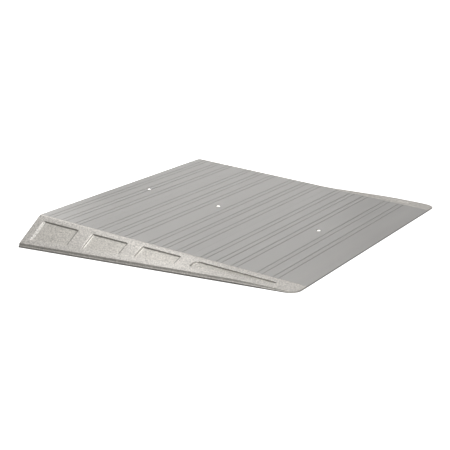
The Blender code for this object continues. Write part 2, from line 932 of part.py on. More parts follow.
def main():
    """Build the ramp."""
    clear_scene()
    parts = new_collection("wheelchair_ramp")
    cutters = new_collection("cutters")
    collections = (parts, cutters)
    extruded = make_material("extruded_aluminium", (0.42, 0.42, 0.41), 0.38, 1.0)
    cast = make_material("cast_aluminium", (0.50, 0.49, 0.46), 0.55, 1.0)
    steel = make_material("stainless_steel", (0.62, 0.62, 0.61), 0.22, 1.0)
    rubber = make_material("black_rubber", (0.03, 0.03, 0.03), 0.85, 0.0)
    pieces = {
        "rear_plank": make_rear_plank(collections, extruded),
        "middle_plank": make_middle_plank(collections, extruded),
        "toe_plank": make_toe_plank(collections, extruded),
        "centre_stringer": make_stringer(collections, extruded),
        "side_wing_left": make_wing("left", -1, collections, cast),
        "side_wing_right": make_wing("right", 1, collections, cast),
    }
    make_deck_screws(pieces, collections, steel)
    make_shelf_screws(pieces, collections, steel)
    make_foot_strips(pieces, collections, rubber)
    shade(parts)


main()
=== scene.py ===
"""Fine forms, finishes and studio of an aluminium wheelchair threshold ramp.

X runs across the ramp, +Y runs up it towards the door sill and +Z is up. Every length is in metres.
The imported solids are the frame: each piece here stands where its solid is.
"""

import logging
import math
from dataclasses import dataclass, field, replace
from enum import Enum
from typing import Any, Callable, ClassVar, Iterable, Sequence

import bmesh
import bpy
from bmesh.types import BMEdge, BMesh, BMFace, BMVert
from bpy.types import Material, Node, NodeSocket, NodeTree, Object
from mathutils import Matrix, Vector


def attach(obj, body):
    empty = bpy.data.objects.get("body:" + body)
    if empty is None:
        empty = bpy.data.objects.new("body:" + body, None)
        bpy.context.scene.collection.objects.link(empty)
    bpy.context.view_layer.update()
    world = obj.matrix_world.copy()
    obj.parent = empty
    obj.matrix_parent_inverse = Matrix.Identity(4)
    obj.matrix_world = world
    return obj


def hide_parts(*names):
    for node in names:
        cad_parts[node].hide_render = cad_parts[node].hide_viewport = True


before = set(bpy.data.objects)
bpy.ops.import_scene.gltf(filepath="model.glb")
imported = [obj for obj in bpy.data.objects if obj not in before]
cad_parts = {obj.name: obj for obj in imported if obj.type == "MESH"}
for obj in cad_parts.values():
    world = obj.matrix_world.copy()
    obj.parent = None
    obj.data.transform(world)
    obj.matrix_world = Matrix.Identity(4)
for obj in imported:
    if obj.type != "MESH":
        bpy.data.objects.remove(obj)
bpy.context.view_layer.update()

LOG = logging.getLogger("threshold_ramp")
WELD = 0.00001
NEAR = 0.00003
NOISE_ROUGHNESS = 0.55
COARSE_OCTAVES = 1.0
OCTAVES = 2.0
FINE_OCTAVES = 3.0
RIM_WEAR_AND_HIGHLIGHT_TAG = "rim"
FLOOR_TAG = "recess"
SKIN_AND_SHADE_TAG = "casting_skin_and_shade"
GROOVE_TAG = "groove"
GRIME_AND_SHADE_TAG = "grime"

Pair = tuple[float, float]
Triple = tuple[float, float, float]
Colour = tuple[float, float, float, float]


class Side(Enum):
    """Side of the ramp, seen from its toe: the sign of X."""

    LEFT = -1
    RIGHT = 1

    @property
    def label(self) -> str:
        """Word that the pieces of this side have in their names."""
        return self.name.lower()


class Slot(Enum):
    """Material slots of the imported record."""

    EXTRUDED = "extruded_aluminium"
    CAST = "cast_aluminium"
    STEEL = "stainless_steel"
    RUBBER = "black_rubber"


def linear(code: str) -> Colour:
    """Turn an sRGB hex colour into the linear colour that a shader takes.

    Args:
        code: the colour as six hex digits after a hash.

    Returns:
        Linear red, green, blue and an alpha of one.
    """
    channels = [int(code[i:i + 2], 16) / 255 for i in (1, 3, 5)]
    values = [c / 12.92 if c <= 0.04045 else ((c + 0.055) / 1.055) ** 2.4 for c in channels]
    return (values[0], values[1], values[2], 1.0)


def add_node(
    tree: NodeTree, kind: str, settings: dict[str, Any] | None = None,
    inputs: dict[str | int, Any] | None = None,
) -> Node:
    """Add a node with its settings and its inputs.

    Args:
        tree: the node tree that gets the node.
        kind: Blender's name for the kind of node.
        settings: attributes of the node and their values.
        inputs: input names or numbers, each with a value or with the output socket to link.

    Returns:
        The new node.
    """
    node = tree.nodes.new(kind)
    for name, value in (settings or {}).items():
        setattr(node, name, value)
    for key, value in (inputs or {}).items():
        if isinstance(value, NodeSocket):
            tree.links.new(value, node.inputs[key])
        else:
            node.inputs[key].default_value = value
    return node


def rounded(points: Sequence[Pair], radii: Sequence[float], steps: int = 3) -> list[Pair]:
    """Round the inner corners of an open line.

    Args:
        points: the line's corners and its two ends.
        radii: for each inner corner, the distance from it at which its curve starts and ends.
        steps: pieces of each curve.

    Returns:
        The line's points, with each inner corner as a curve.
    """
    line = [points[0]]
    for before, corner, after, radius in zip(points, points[1:], points[2:], radii):
        middle = Vector(corner)
        start = middle + (Vector(before) - middle).normalized() * radius
        end = middle + (Vector(after) - middle).normalized() * radius
        for i in range(steps + 1):
            t = i / steps
            spot = start * (1 - t) ** 2 + middle * 2 * t * (1 - t) + end * t ** 2
            line.append((spot.x, spot.y))
    line.append(points[-1])
    return line


def along(point: Pair, direction: Pair, distance: float) -> Pair:
    """Flat point at a distance from another in a direction."""
    return point[0] + direction[0] * distance, point[1] + direction[1] * distance


@dataclass(frozen=True)
class Ramp:
    """Sizes that several pieces share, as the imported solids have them."""

    width: float = 0.9144
    run: float = 0.9144
    rear_height: float = 0.078
    toe_height: float = 0.004
    joint_gap: float = 0.0003
    ground_gap: float = 0.0005
    plank_depth: float = 0.020
    nose_land: float = 0.045
    seams: Pair = (0.1797, 0.5457)
    support_end: float = 0.110

    @property
    def half(self) -> float:
        """Half the deck's width."""
        return self.width / 2

    @property
    def slope(self) -> float:
        """Angle of the tread above the ground."""
        return math.atan2(self.rear_height - self.toe_height, self.run)

    @property
    def slope_length(self) -> float:
        """Length of the tread along its slope."""
        return self.run / math.cos(self.slope)

    @property
    def up(self) -> Vector:
        """Direction square to the tread."""
        return Vector((0.0, -math.sin(self.slope), math.cos(self.slope)))

    @property
    def down(self) -> Vector:
        """Direction down the slope."""
        return Vector((0.0, -math.cos(self.slope), -math.sin(self.slope)))

    @property
    def rear_edge(self) -> Vector:
        """Middle of the tread's rear edge."""
        return Vector((0.0, self.run / 2, self.rear_height))

    def tread_height(self, down: float) -> float:
        """Height of the tread at a level distance down from the rear edge."""
        return self.rear_height - down * math.tan(self.slope)

    def below_tread(self, place: Vector) -> Pair:
        """Station down the slope and depth below the tread of a place."""
        away = place - self.rear_edge
        return away.dot(self.down), -away.dot(self.up)

    def underside_depth(self, station: float) -> float:
        """Depth of the planks' underside below the tread, which thins along the toe plank.

        Args:
            station: distance down the slope from the rear edge.

        Returns:
            The depth, square to the tread.
        """
        if station <= self.seams[1]:
            return self.plank_depth
        land = self.slope_length - self.nose_land
        land_height = self.tread_height(land * math.cos(self.slope)) - self.ground_gap
        share = (station - self.seams[1]) / (land - self.seams[1])
        return self.plank_depth + share * (land_height * math.cos(self.slope) - self.plank_depth)

    def underside_height(self, down: float) -> float:
        """Height of the planks' underside at a level distance down from the rear edge."""
        depth = self.underside_depth(down / math.cos(self.slope))
        return self.tread_height(down) - depth / math.cos(self.slope)


@dataclass(frozen=True)
class Factor:
    """Pattern mapped onto factors: low at its start value and high at its end value."""

    pattern: NodeSocket
    low: float
    high: float
    start: float = 0.3
    end: float = 0.7

    @classmethod
    def around(cls, pattern: NodeSocket, swing: float, middle: float = 1.0) -> "Factor":
        """Factors that swing to both sides of a middle one."""
        return cls(pattern, middle - swing, middle + swing)

    @classmethod
    def marked(cls, tree: NodeTree, tag: str, full: float) -> "Factor":
        """Factor of one where the piece's points don't carry a tag, and of full where they do."""
        mark = add_node(tree, "ShaderNodeAttribute", {"attribute_name": tag}).outputs["Fac"]
        return cls(mark, 1.0, full, 0.0, 1.0)


@dataclass(frozen=True)
class Skin:
    """Patterns of a finish: shade of its colour, roughness, relief, and a colour that isn't plain."""

    tone: NodeSocket
    roughness: NodeSocket | None = None
    relief: NodeSocket | None = None
    colour: NodeSocket | None = None


@dataclass(frozen=True)
class Finish:
    """What every finish has: its name, its colour, its gloss and the strength of its relief."""

    name: str
    colour: str
    roughness: float
    metallic: float = 1.0
    relief_share: float = 0.0
    relief_height: float = 0.0

    def grain(
        self, tree: NodeTree, size: Triple, detail: float = OCTAVES, turn: float = 0.0,
    ) -> NodeSocket:
        """Add a noise pattern in the object's own metres.

        Args:
            tree: the material's node tree.
            size: the pattern's grain along X, Y and Z, in metres.
            detail: octaves of finer noise.
            turn: turn of the pattern about X, to follow the slope of the tread.

        Returns:
            The pattern's value, from zero to one about a half.
        """
        place = add_node(tree, "ShaderNodeTexCoord").outputs["Object"]
        scale = tuple(1.0 / length for length in size)
        for name, value in (("Rotation", (turn, 0.0, 0.0)), ("Scale", scale)):
            place = add_node(tree, "ShaderNodeMapping", {"vector_type": "POINT"}, {
                "Vector": place, name: value,
            }).outputs["Vector"]
        return add_node(tree, "ShaderNodeTexNoise", None, {
            "Vector": place, "Scale": 1.0, "Detail": detail, "Roughness": NOISE_ROUGHNESS,
        }).outputs[0]

    def product(self, tree: NodeTree, *factors: Factor) -> NodeSocket:
        """Multiply patterns, each mapped onto its own range.

        Args:
            tree: the material's node tree.
            factors: the patterns and their ranges.

        Returns:
            The product.
        """
        values = [
            add_node(tree, "ShaderNodeMapRange", None, {
                "Value": factor.pattern, "From Min": factor.start, "From Max": factor.end,
                "To Min": factor.low, "To Max": factor.high,
            }).outputs["Result"]
            for factor in factors
        ]
        total = values[0]
        for value in values[1:]:
            total = add_node(tree, "ShaderNodeMath", {"operation": "MULTIPLY"}, {
                0: total, 1: value,
            }).outputs[0]
        return total

    def skin(self, tree: NodeTree) -> Skin:
        """Lay out the patterns of this finish.

        Args:
            tree: the material's node tree.

        Returns:
            The patterns.
        """
        raise NotImplementedError

    def build(self) -> Material:
        """Make the material: the shader with the finish's patterns.

        Returns:
            The material.
        """
        material = bpy.data.materials.new(self.name)
        material.use_nodes = True
        tree = material.node_tree
        shader = tree.nodes["Principled BSDF"]
        shader.inputs["Base Color"].default_value = linear(self.colour)
        shader.inputs["Roughness"].default_value = self.roughness
        shader.inputs["Metallic"].default_value = self.metallic
        skin = self.skin(tree)
        shaded = add_node(tree, "ShaderNodeVectorMath", {"operation": "SCALE"}, {
            0: skin.colour or linear(self.colour)[:3], "Scale": skin.tone,
        })
        tree.links.new(shaded.outputs["Vector"], shader.inputs["Base Color"])
        if skin.roughness is not None:
            tree.links.new(skin.roughness, shader.inputs["Roughness"])
        if skin.relief is not None:
            bump = add_node(tree, "ShaderNodeBump", None, {
                "Height": skin.relief, "Strength": self.relief_share, "Distance": self.relief_height,
            })
            tree.links.new(bump.outputs["Normal"], shader.inputs["Normal"])
        return material


@dataclass(frozen=True)
class ExtrudedAluminium(Finish):
    """Mill-finish extruded aluminium.

    The die leaves fine straight lines along the extrusion, across the ramp. They spread the
    reflections up and down the slope and give the satin look. Grime and painted shade darken the grooves.
    """

    name: str = "extruded_aluminium_mill"
    colour: str = "#c8c6c3"
    roughness: float = 0.42
    relief_share: float = 0.3
    relief_height: float = 0.00003
    slope: float = 0.0
    # The real die lines are 0.2 to 0.5 mm apart, drawn 2.2 mm apart to show at all.
    die_line: Triple = (4.0, 0.0022, 0.05)
    streak: Triple = (9.0, 0.009, 0.2)
    band: Triple = (12.0, 0.030, 0.5)
    cloud: Triple = (0.32, 0.16, 0.16)
    line_tone: float = 0.015
    band_tone: float = 0.01
    cloud_tone: float = 0.025
    streak_dull: float = 0.08
    cloud_dull: float = 0.06
    # Colour at full groove mark: painted shade, with grime, in the grooves and the screw seats.
    groove_shade: float = 0.35

    def skin(self, tree: NodeTree) -> Skin:
        """Die lines, streaks and bands across the ramp, soft clouds, and grooves darkened with grime and
        painted shade.

        Args:
            tree: the material's node tree.

        Returns:
            The patterns, with the die lines as the relief.
        """
        lines = self.grain(tree, self.die_line, turn=-self.slope)
        streaks = self.grain(tree, self.streak, turn=-self.slope)
        bands = self.grain(tree, self.band, detail=COARSE_OCTAVES, turn=-self.slope)
        clouds = self.grain(tree, self.cloud, detail=FINE_OCTAVES)
        # The groove mark darkens grooves and screw seats with painted shade and grime.
        tone = self.product(
            tree, Factor.around(lines, self.line_tone), Factor.around(streaks, self.line_tone),
            Factor.around(bands, self.band_tone), Factor.around(clouds, self.cloud_tone),
            Factor.marked(tree, GROOVE_TAG, self.groove_shade),
        )
        dull = self.product(
            tree, Factor.around(streaks, self.streak_dull * self.roughness, self.roughness),
            Factor.around(clouds, self.cloud_dull),
        )
        return Skin(tone, dull, lines)


@dataclass(frozen=True)
class CastAluminium(Finish):
    """Sand-cast aluminium, tumbled: dull and warm grey, with a fine speckle of pits and bright grains.

    The raised rims have had the most tumbling and are brighter, with a painted highlight. The recessed
    floors turn a little greyer the deeper they sink. The steep walls and the lip keep a dark casting
    skin, darkened further with painted shade.
    """

    name: str = "cast_aluminium_tumbled"
    colour: str = "#dfdbd5"
    roughness: float = 0.46
    relief_share: float = 0.6
    relief_height: float = 0.00045
    floor_colour: str = "#dcd8d1"
    skin_and_shade_colour: str = "#8d8a83"
    # The real grit is about 0.5 mm, drawn 3.4 mm across to show at all.
    grit: float = 0.0034
    pit: float = 0.0075
    cloud: float = 0.055
    grit_tone: float = 0.24
    grit_span: Pair = (0.38, 0.62)
    pit_tone: float = 0.07
    cloud_tone: float = 0.035
    grit_dull: float = 0.06
    # Painted highlight, with wear, on the rims and rear walls: the factor on the colour at full mark.
    rim_painted_highlight: float = 1.2
    rim_polish: float = 0.55

    def skin(self, tree: NodeTree) -> Skin:
        """Grit, pits and clouds, rims brightened with wear and a painted highlight, greyer floors, and
        dark casting skin with painted shade.

        Args:
            tree: the material's node tree.

        Returns:
            The patterns, with the grit and the pits as the relief.
        """
        grit = self.grain(tree, (self.grit,) * 3, detail=FINE_OCTAVES)
        pits = self.grain(tree, (self.pit,) * 3)
        clouds = self.grain(tree, (self.cloud,) * 3)
        # The tone carries the painted highlight on the rims.
        tone = self.product(
            tree, Factor(grit, 1.0 - self.grit_tone, 1.0 + self.grit_tone, *self.grit_span),
            Factor.around(pits, self.pit_tone), Factor.around(clouds, self.cloud_tone),
            Factor.marked(tree, RIM_WEAR_AND_HIGHLIGHT_TAG, self.rim_painted_highlight),
        )
        dull = self.product(
            tree, Factor.around(grit, self.grit_dull, self.roughness),
            Factor.marked(tree, RIM_WEAR_AND_HIGHLIGHT_TAG, self.rim_polish),
        )
        colour: NodeSocket | Colour = linear(self.colour)
        # Greyer with depth in the pockets, then dark casting skin with painted shade on steep walls and
        # the lip.
        for tag, other in ((FLOOR_TAG, self.floor_colour), (SKIN_AND_SHADE_TAG, self.skin_and_shade_colour)):
            mark = add_node(tree, "ShaderNodeAttribute", {"attribute_name": tag}).outputs["Fac"]
            colour = add_node(tree, "ShaderNodeMix", {"data_type": "RGBA"}, {
                0: mark, 6: colour, 7: linear(other),
            }).outputs[2]
        relief = add_node(tree, "ShaderNodeMath", {"operation": "ADD"}, {0: grit, 1: pits}).outputs[0]
        return Skin(tone, dull, relief, colour)


@dataclass(frozen=True)
class StainlessSteel(Finish):
    """Machined stainless steel: bright, with the faint marks of turning and handling.

    A ring between a head's edge and its countersink is dull with grime and dark with grime and painted
    shade.
    """

    name: str = "stainless_steel_machined"
    colour: str = "#eceae6"
    roughness: float = 0.11
    mark: float = 0.0012
    mark_tone: float = 0.025
    mark_dull: float = 0.04
    # Painted shade, with grime, darkens the ring round the head to this share.
    grime_shade: float = 0.20
    grime_dull: float = 2.0

    def skin(self, tree: NodeTree) -> Skin:
        """Fine marks, and grime with painted shade round the head.

        Args:
            tree: the material's node tree.

        Returns:
            The patterns, without a relief.
        """
        marks = self.grain(tree, (self.mark,) * 3, detail=FINE_OCTAVES)
        # The ring mark darkens the head's edge with painted shade and grime.
        tone = self.product(
            tree, Factor.around(marks, self.mark_tone, 1.0 - self.mark_tone),
            Factor.marked(tree, GRIME_AND_SHADE_TAG, self.grime_shade),
        )
        dull = self.product(
            tree, Factor.around(marks, self.mark_dull, self.roughness),
            Factor.marked(tree, GRIME_AND_SHADE_TAG, self.grime_dull),
        )
        return Skin(tone, dull)


@dataclass(frozen=True)
class MouldedRubber(Finish):
    """Black moulded rubber: matt, with a fine dusty grain."""

    name: str = "rubber_moulded"
    colour: str = "#222221"
    roughness: float = 0.85
    metallic: float = 0.0
    relief_share: float = 0.4
    relief_height: float = 0.0002
    grit: float = 0.0015
    grit_tone: float = 0.25
    dust: float = 1.05

    def skin(self, tree: NodeTree) -> Skin:
        """Dusty grain, a little paler than the rubber.

        Args:
            tree: the material's node tree.

        Returns:
            The patterns, with the grain as the relief.
        """
        grit = self.grain(tree, (self.grit,) * 3, detail=FINE_OCTAVES)
        return Skin(self.product(tree, Factor.around(grit, self.grit_tone, self.dust)), relief=grit)


@dataclass(kw_only=True)
class Piece:
    """Named piece of the ramp, modelled as a bmesh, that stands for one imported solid.

    Its name is the solid's and its kind. An edge above the smoothing angle, in degrees, stays sharp.
    """

    kind: ClassVar[str]
    slot: ClassVar[Slot]
    smooth_to: ClassVar[float] = 32.0

    node: str
    bm: BMesh = field(init=False, default_factory=bmesh.new)

    def copy_solid(self, flat: float = 0.3) -> None:
        """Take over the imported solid's mesh and merge its loose triangles.

        Args:
            flat: angle in degrees between faces that still count as one.
        """
        self.bm.from_mesh(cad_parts[self.node].data)
        bmesh.ops.remove_doubles(self.bm, verts=self.bm.verts[:], dist=WELD)
        bmesh.ops.dissolve_limit(
            self.bm, angle_limit=math.radians(flat), verts=self.bm.verts[:], edges=self.bm.edges[:],
        )
        self.bm.normal_update()

    def soften(self, radius: float, chosen: Callable[[BMEdge], bool], segments: int = 2) -> None:
        """Round the chosen sharp edges.

        Args:
            radius: how far from the edge its curve starts.
            chosen: says of an edge whether it is rounded.
            segments: pieces of the curve.
        """
        edges = [edge for edge in self.bm.edges if len(edge.link_faces) == 2 and chosen(edge)]
        bmesh.ops.bevel(
            self.bm, geom=edges, affect="EDGES", offset=radius, offset_type="OFFSET", segments=segments,
            profile=0.5, material=-1, clamp_overlap=True,
        )

    def pull(
        self, edges: list[BMEdge], strands: dict[BMVert, list[Vector]],
    ) -> tuple[list[BMEdge], list[list[BMVert]]]:
        """Extrude open edges row after row, each of their points along its own strand.

        Args:
            edges: the open edges.
            strands: for each of their points, its places in the new rows.

        Returns:
            The last row's edges, and the new points of every row.
        """
        rows: list[list[BMVert]] = []
        for row in range(len(next(iter(strands.values())))):
            made = bmesh.ops.extrude_edge_only(self.bm, edges=edges)["geom"]
            fresh: dict[BMVert, list[Vector]] = {}
            for vert in [item for item in made if isinstance(item, BMVert)]:
                others = (edge.other_vert(vert) for edge in vert.link_edges)
                fresh[vert] = next(strands[other] for other in others if other in strands)
                vert.co = fresh[vert][row]
            edges = [
                item for item in made
                if isinstance(item, BMEdge) and all(vert in fresh for vert in item.verts)
            ]
            rows.append(list(fresh))
            strands = fresh
        return edges, rows

    def model(self) -> None:
        """Shape the piece."""
        raise NotImplementedError

    def build(self, material: Material) -> Object:
        """Model the piece, let it ride on the ramp and let it stand for its solid.

        Args:
            material: the piece's finish.

        Returns:
            The new object.
        """
        self.model()
        name = f"{self.node}_{self.kind}"
        mesh = bpy.data.meshes.new(name)
        self.bm.to_mesh(mesh)
        self.bm.free()
        piece = bpy.data.objects.new(name, mesh)
        bpy.context.scene.collection.objects.link(piece)
        mesh.materials.append(material)
        mesh.shade_smooth()
        mesh.set_sharp_from_angle(angle=math.radians(self.smooth_to))
        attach(piece, "root")
        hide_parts(self.node)
        LOG.info("%s: %d faces", name, len(mesh.polygons))
        return piece


@dataclass(frozen=True)
class Pocket:
    """Shallow recess in a wing's bevel: its span down the run and the offsets of its two long sides.

    Its rear wall has a draft of its own, more or less dark casting skin with painted shade, and more or
    less wear with a painted highlight. The corner between that wall and the side beside the deck has a
    radius of its own.
    """

    start: float
    end: float
    upper_start: float
    upper_end: float
    bottom: float = 0.092
    bottom_taper: float = 0.066
    radius: float = 0.0045
    upper_radius: float = 0.0045
    rear_draft: float = 0.0055
    rear_skin_and_shade: float = 0.9
    rear_wear_and_highlight: float = 1.0

    @property
    def rise(self) -> float:
        """Slope of the side beside the deck."""
        return (self.upper_end - self.upper_start) / (self.end - self.start)

    def upper(self, down: float, out: float = 0.0) -> float:
        """Offset of the side beside the deck, or of a line at a distance outside it."""
        return self.upper_start + self.rise * (down - self.start) - out

    def lower(self, down: float, out: float = 0.0) -> float:
        """Offset of the side beside the lip, or of a line at a distance outside it."""
        return self.bottom - self.bottom_taper * down + out


@dataclass(kw_only=True)
class SideWing(Piece):
    """Cast side wing: margin, bevel with four pockets, stepped lip and round toe corner.

    It is laid out flat, by distance down from the rear edge and offset out from the deck, and then
    carried onto its warped surface.
    """

    kind: ClassVar[str] = "casting"
    slot: ClassVar[Slot] = Slot.CAST

    ramp: Ramp
    side: Side
    rear_width: float = 0.112
    toe_width: float = 0.0665
    margin: float = 0.007
    margin_blend: float = 0.0022
    corner_radius: float = 0.032
    corner_segments: int = 14
    lip_height: float = 0.0135
    lip_toe_height: float = 0.0034
    lip_taper_run: float = 0.235
    lip_lean: float = 0.0020
    lip_step: float = 0.0024
    lip_foot_share: float = 0.42
    # Radii of the lip's top edge and of the two edges of its step, as shares of the edge radius.
    lip_rounding: Triple = (1.0, 0.7, 0.6)
    # Dark casting skin with painted shade on the rows of the lip, from its top edge to the ground.
    lip_skin_and_shade: tuple[float, ...] = (0.15, 0.4, 0.6, 0.6, 0.5, 0.4, 0.2, 0.2, 0.15, 0.1, 0.1, 0.1)
    edge_radius: float = 0.0012
    rear_radius: float = 0.0011
    rear_steps: int = 3
    pockets: tuple[Pocket, ...] = (
        Pocket(0.0275, 0.1585, 0.0220, 0.0220, rear_draft=0.0085, rear_skin_and_shade=0.0),
        Pocket(0.2135, 0.3390, 0.0220, 0.0220),
        Pocket(0.3920, 0.5220, 0.0195, 0.0195, rear_draft=0.0050, rear_wear_and_highlight=0.5),
        Pocket(0.5745, 0.8340, 0.0215, 0.0260, upper_radius=0.018, rear_draft=0.0030, rear_wear_and_highlight=0.0),
    )
    pocket_depth: float = 0.0035
    pocket_draft: float = 0.0018
    pocket_upper_draft: float = 0.0010
    pocket_clear: float = 0.0035
    pocket_segments: int = 6
    wide_segments: int = 10
    rim_radius: float = 0.0011
    fillet_radius: float = 0.0013
    rim_spread: float = 0.0021
    rim_spread_power: int = 4
    lean_power: float = 1.5
    # Where the dark casting skin with painted shade of a wall starts and ends, as shares of the depth, and
    # how thick it is.
    rear_skin_and_shade_span: Pair = (0.25, 0.7)
    toe_skin_and_shade: Triple = (-1.0, 0.7, 0.9)
    upper_skin_and_shade: Triple = (0.15, 0.99, 0.9)
    lower_skin_and_shade: Triple = (0.15, 0.99, 0.3)
    # Past this share of the depth, the rear wall's wear and painted highlight drop to the floor's share.
    floor_share: float = 0.99
    floor_wear_and_highlight: float = 0.5
    hold: float = 0.0004
    inner_bend: float = 0.3
    snap: float = 0.0015
    touch: float = 0.00002
    grid: float = 0.012
    lanes: int = 9
    # How a face of the solid has to face, and how near it is, for the new skin to cover it.
    faces_down: float = -0.5
    faces_end: float = 0.9
    faces_up: float = 0.05
    faces_out: float = 0.3
    end_reach: float = 0.0001
    skin_reach: float = 0.002
    lip_reach: float = 0.0045
    foot_reach: float = 0.0009

    def straight_width(self, down: float) -> float:
        """Width of the footprint, but for its round corner."""
        return self.rear_width + (self.toe_width - self.rear_width) * down / self.ramp.run

    def lip_top(self, down: float) -> float:
        """Height of the lip's top edge: level, then falling to the toe."""
        share = min((self.ramp.run - down) / self.lip_taper_run, 1.0)
        return self.lip_toe_height + (self.lip_height - self.lip_toe_height) * share * (2.0 - share)

    def lip_scale(self, down: float) -> float:
        """Size of the lip's outline at a station, as a share of its full size."""
        ground = self.ramp.ground_gap
        return (self.lip_top(down) - ground) / (self.lip_height - ground)

    def lip_inset(self, down: float) -> float:
        """How far the lip's top edge stands in from its foot."""
        return (self.lip_lean + self.lip_step) * self.lip_scale(down)

    def height(self, down: float, offset: float) -> float:
        """Height of the wing's upper surface.

        Args:
            down: level distance down from the rear edge.
            offset: distance out from the deck's edge.

        Returns:
            The height above the ground, with a soft crease beside the margin.
        """
        tread = self.ramp.tread_height(down)
        edge = self.straight_width(down) - self.lip_inset(down)
        fall = (tread - self.lip_top(down)) / (edge - self.margin)
        past = offset - self.margin
        if past <= -self.margin_blend:
            return tread
        if past >= self.margin_blend:
            return tread - fall * past
        return tread - fall * (past + self.margin_blend) ** 2 / (4 * self.margin_blend)

    def place(self, down: float, offset: float, height: float) -> Vector:
        """Point of the wing in the ramp's frame."""
        return Vector((self.side.value * (self.ramp.half + offset), self.ramp.run / 2 - down, height))

    def cut_flat(self, faces: Iterable[BMFace], point: Pair, direction: Pair) -> None:
        """Cut flat faces along a line.

        Args:
            faces: the faces to cut.
            point: a point of the line, as distance down and offset.
            direction: the line's direction.
        """
        chosen = list(faces)
        edges = dict.fromkeys(edge for face in chosen for edge in face.edges)
        verts = dict.fromkeys(vert for face in chosen for vert in face.verts)
        bmesh.ops.bisect_plane(
            self.bm, geom=[*verts, *edges, *chosen], dist=WELD / 10,
            plane_co=(*point, 0.0), plane_no=(direction[1], -direction[0], 0.0),
        )

    def flat_skin(self) -> None:
        """Lay out the upper skin: X is distance down, Y is offset and Z is height over the surface."""
        bm = self.bm
        for tag in (FLOOR_TAG, RIM_WEAR_AND_HIGHLIGHT_TAG, SKIN_AND_SHADE_TAG):
            bm.verts.layers.float.new(tag)
        run = self.ramp.run
        inner = self.ramp.joint_gap / 2 + self.hold
        toe_inset = self.lip_inset(run) + self.edge_radius * self.lip_scale(run)
        rear_inset = self.lip_inset(0.0) + self.edge_radius
        taper = run - self.lip_taper_run
        toe = run - toe_inset
        corners = [
            (self.rear_radius, inner), (toe, inner), (toe, self.straight_width(run) - toe_inset),
            (taper, self.straight_width(taper) - rear_inset),
            (self.rear_radius, self.straight_width(self.rear_radius) - rear_inset),
        ]
        verts = [bm.verts.new((down, offset, 0.0)) for down, offset in corners]
        bm.faces.new(verts)
        bmesh.ops.bevel(
            bm, geom=[verts[2]], affect="VERTICES", offset=self.corner_radius - toe_inset,
            offset_type="OFFSET", segments=self.corner_segments, profile=0.5, material=-1,
        )
        blend = [self.margin + self.margin_blend * i / 2 for i in range(-2, 3)]
        for offset in (inner + self.hold, *blend):
            self.cut_flat(bm.faces, (0.0, offset), (1.0, 0.0))

    def faces_between(self, low: float, high: float) -> list[BMFace]:
        """Flat faces whose middle is between two distances down, past the margin."""
        return [
            face for face in self.bm.faces
            if low < face.calc_center_median().x < high
            and face.calc_center_median().y > self.margin + self.margin_blend
        ]

    def pocket_profile(self) -> list[Pair]:
        """Section of a pocket's wall, as inset and height: a rounded rim, the draft and a fillet."""
        corners = [
            (-self.rim_radius - self.hold, 0.0), (0.0, 0.0), (self.pocket_draft, -self.pocket_depth),
            (self.pocket_draft + self.fillet_radius + self.hold, -self.pocket_depth),
        ]
        return rounded(corners, (self.rim_radius, self.fillet_radius), 4)

    def sink_pocket(self, pocket: Pocket) -> None:
        """Open a pocket in the flat skin: a rounded outline, then ring after ring down to its floor.

        Args:
            pocket: the pocket's place.
        """
        bm = self.bm
        reach = self.rim_radius + self.hold
        clear = reach + self.pocket_clear
        ends = (pocket.start - clear, pocket.end + clear)
        for down in ends:
            self.cut_flat(self.faces_between(0.0, self.ramp.run), (down, 0.0), (0.0, 1.0))
        for side, slope in ((pocket.upper, pocket.rise), (pocket.lower, -pocket.bottom_taper)):
            point = (pocket.start, side(pocket.start, clear))
            self.cut_flat(self.faces_between(*ends), point, (1.0, slope))
        middle = (pocket.start + pocket.end) / 2
        centre = Vector((middle, (pocket.upper(middle) + pocket.lower(middle)) / 2, 0.0))
        strip = self.faces_between(*ends)
        lid = min(strip, key=lambda face: abs(face.calc_center_median().y - centre.y))
        hole = list(lid.edges)
        bmesh.ops.delete(bm, geom=[lid], context="FACES_ONLY")
        skin = set(bm.verts)
        first, last = pocket.start - reach, pocket.end + reach
        corners = (
            (first, pocket.upper, pocket.upper_radius), (last, pocket.upper, pocket.radius),
            (last, pocket.lower, pocket.radius), (first, pocket.lower, pocket.radius),
        )
        verts = [bm.verts.new((down, side(down, reach), 0.0)) for down, side, _ in corners]
        bm.faces.new(verts)
        for vert, (_, _, radius) in zip(verts, corners):
            bmesh.ops.bevel(
                bm, geom=[vert], affect="VERTICES", offset=radius + reach, offset_type="OFFSET",
                segments=self.wide_segments if radius > pocket.radius else self.pocket_segments,
                profile=0.5, material=-1,
            )
        floor = min(bm.faces, key=lambda face: (face.calc_center_median() - centre).length)
        skin_edges = {edge for edge in bm.edges if edge not in floor.edges[:]}
        profile = self.pocket_profile()
        for (inset, _), (next_inset, next_level) in zip(profile, profile[1:]):
            bmesh.ops.inset_region(
                bm, faces=[floor], thickness=max(next_inset - inset, self.touch), depth=0.0,
                use_even_offset=True, use_boundary=True,
            )
            for vert in floor.verts:
                vert.co.z = next_level
        if floor.normal.z < 0:
            floor.normal_flip()
        rim = [edge for edge in bm.edges if edge.is_boundary and edge not in skin_edges]
        rim_verts = {vert for edge in rim for vert in edge.verts}
        bmesh.ops.bridge_loops(bm, edges=hole + rim)
        self.lean_walls(pocket, [vert for vert in bm.verts if vert not in skin], rim_verts)

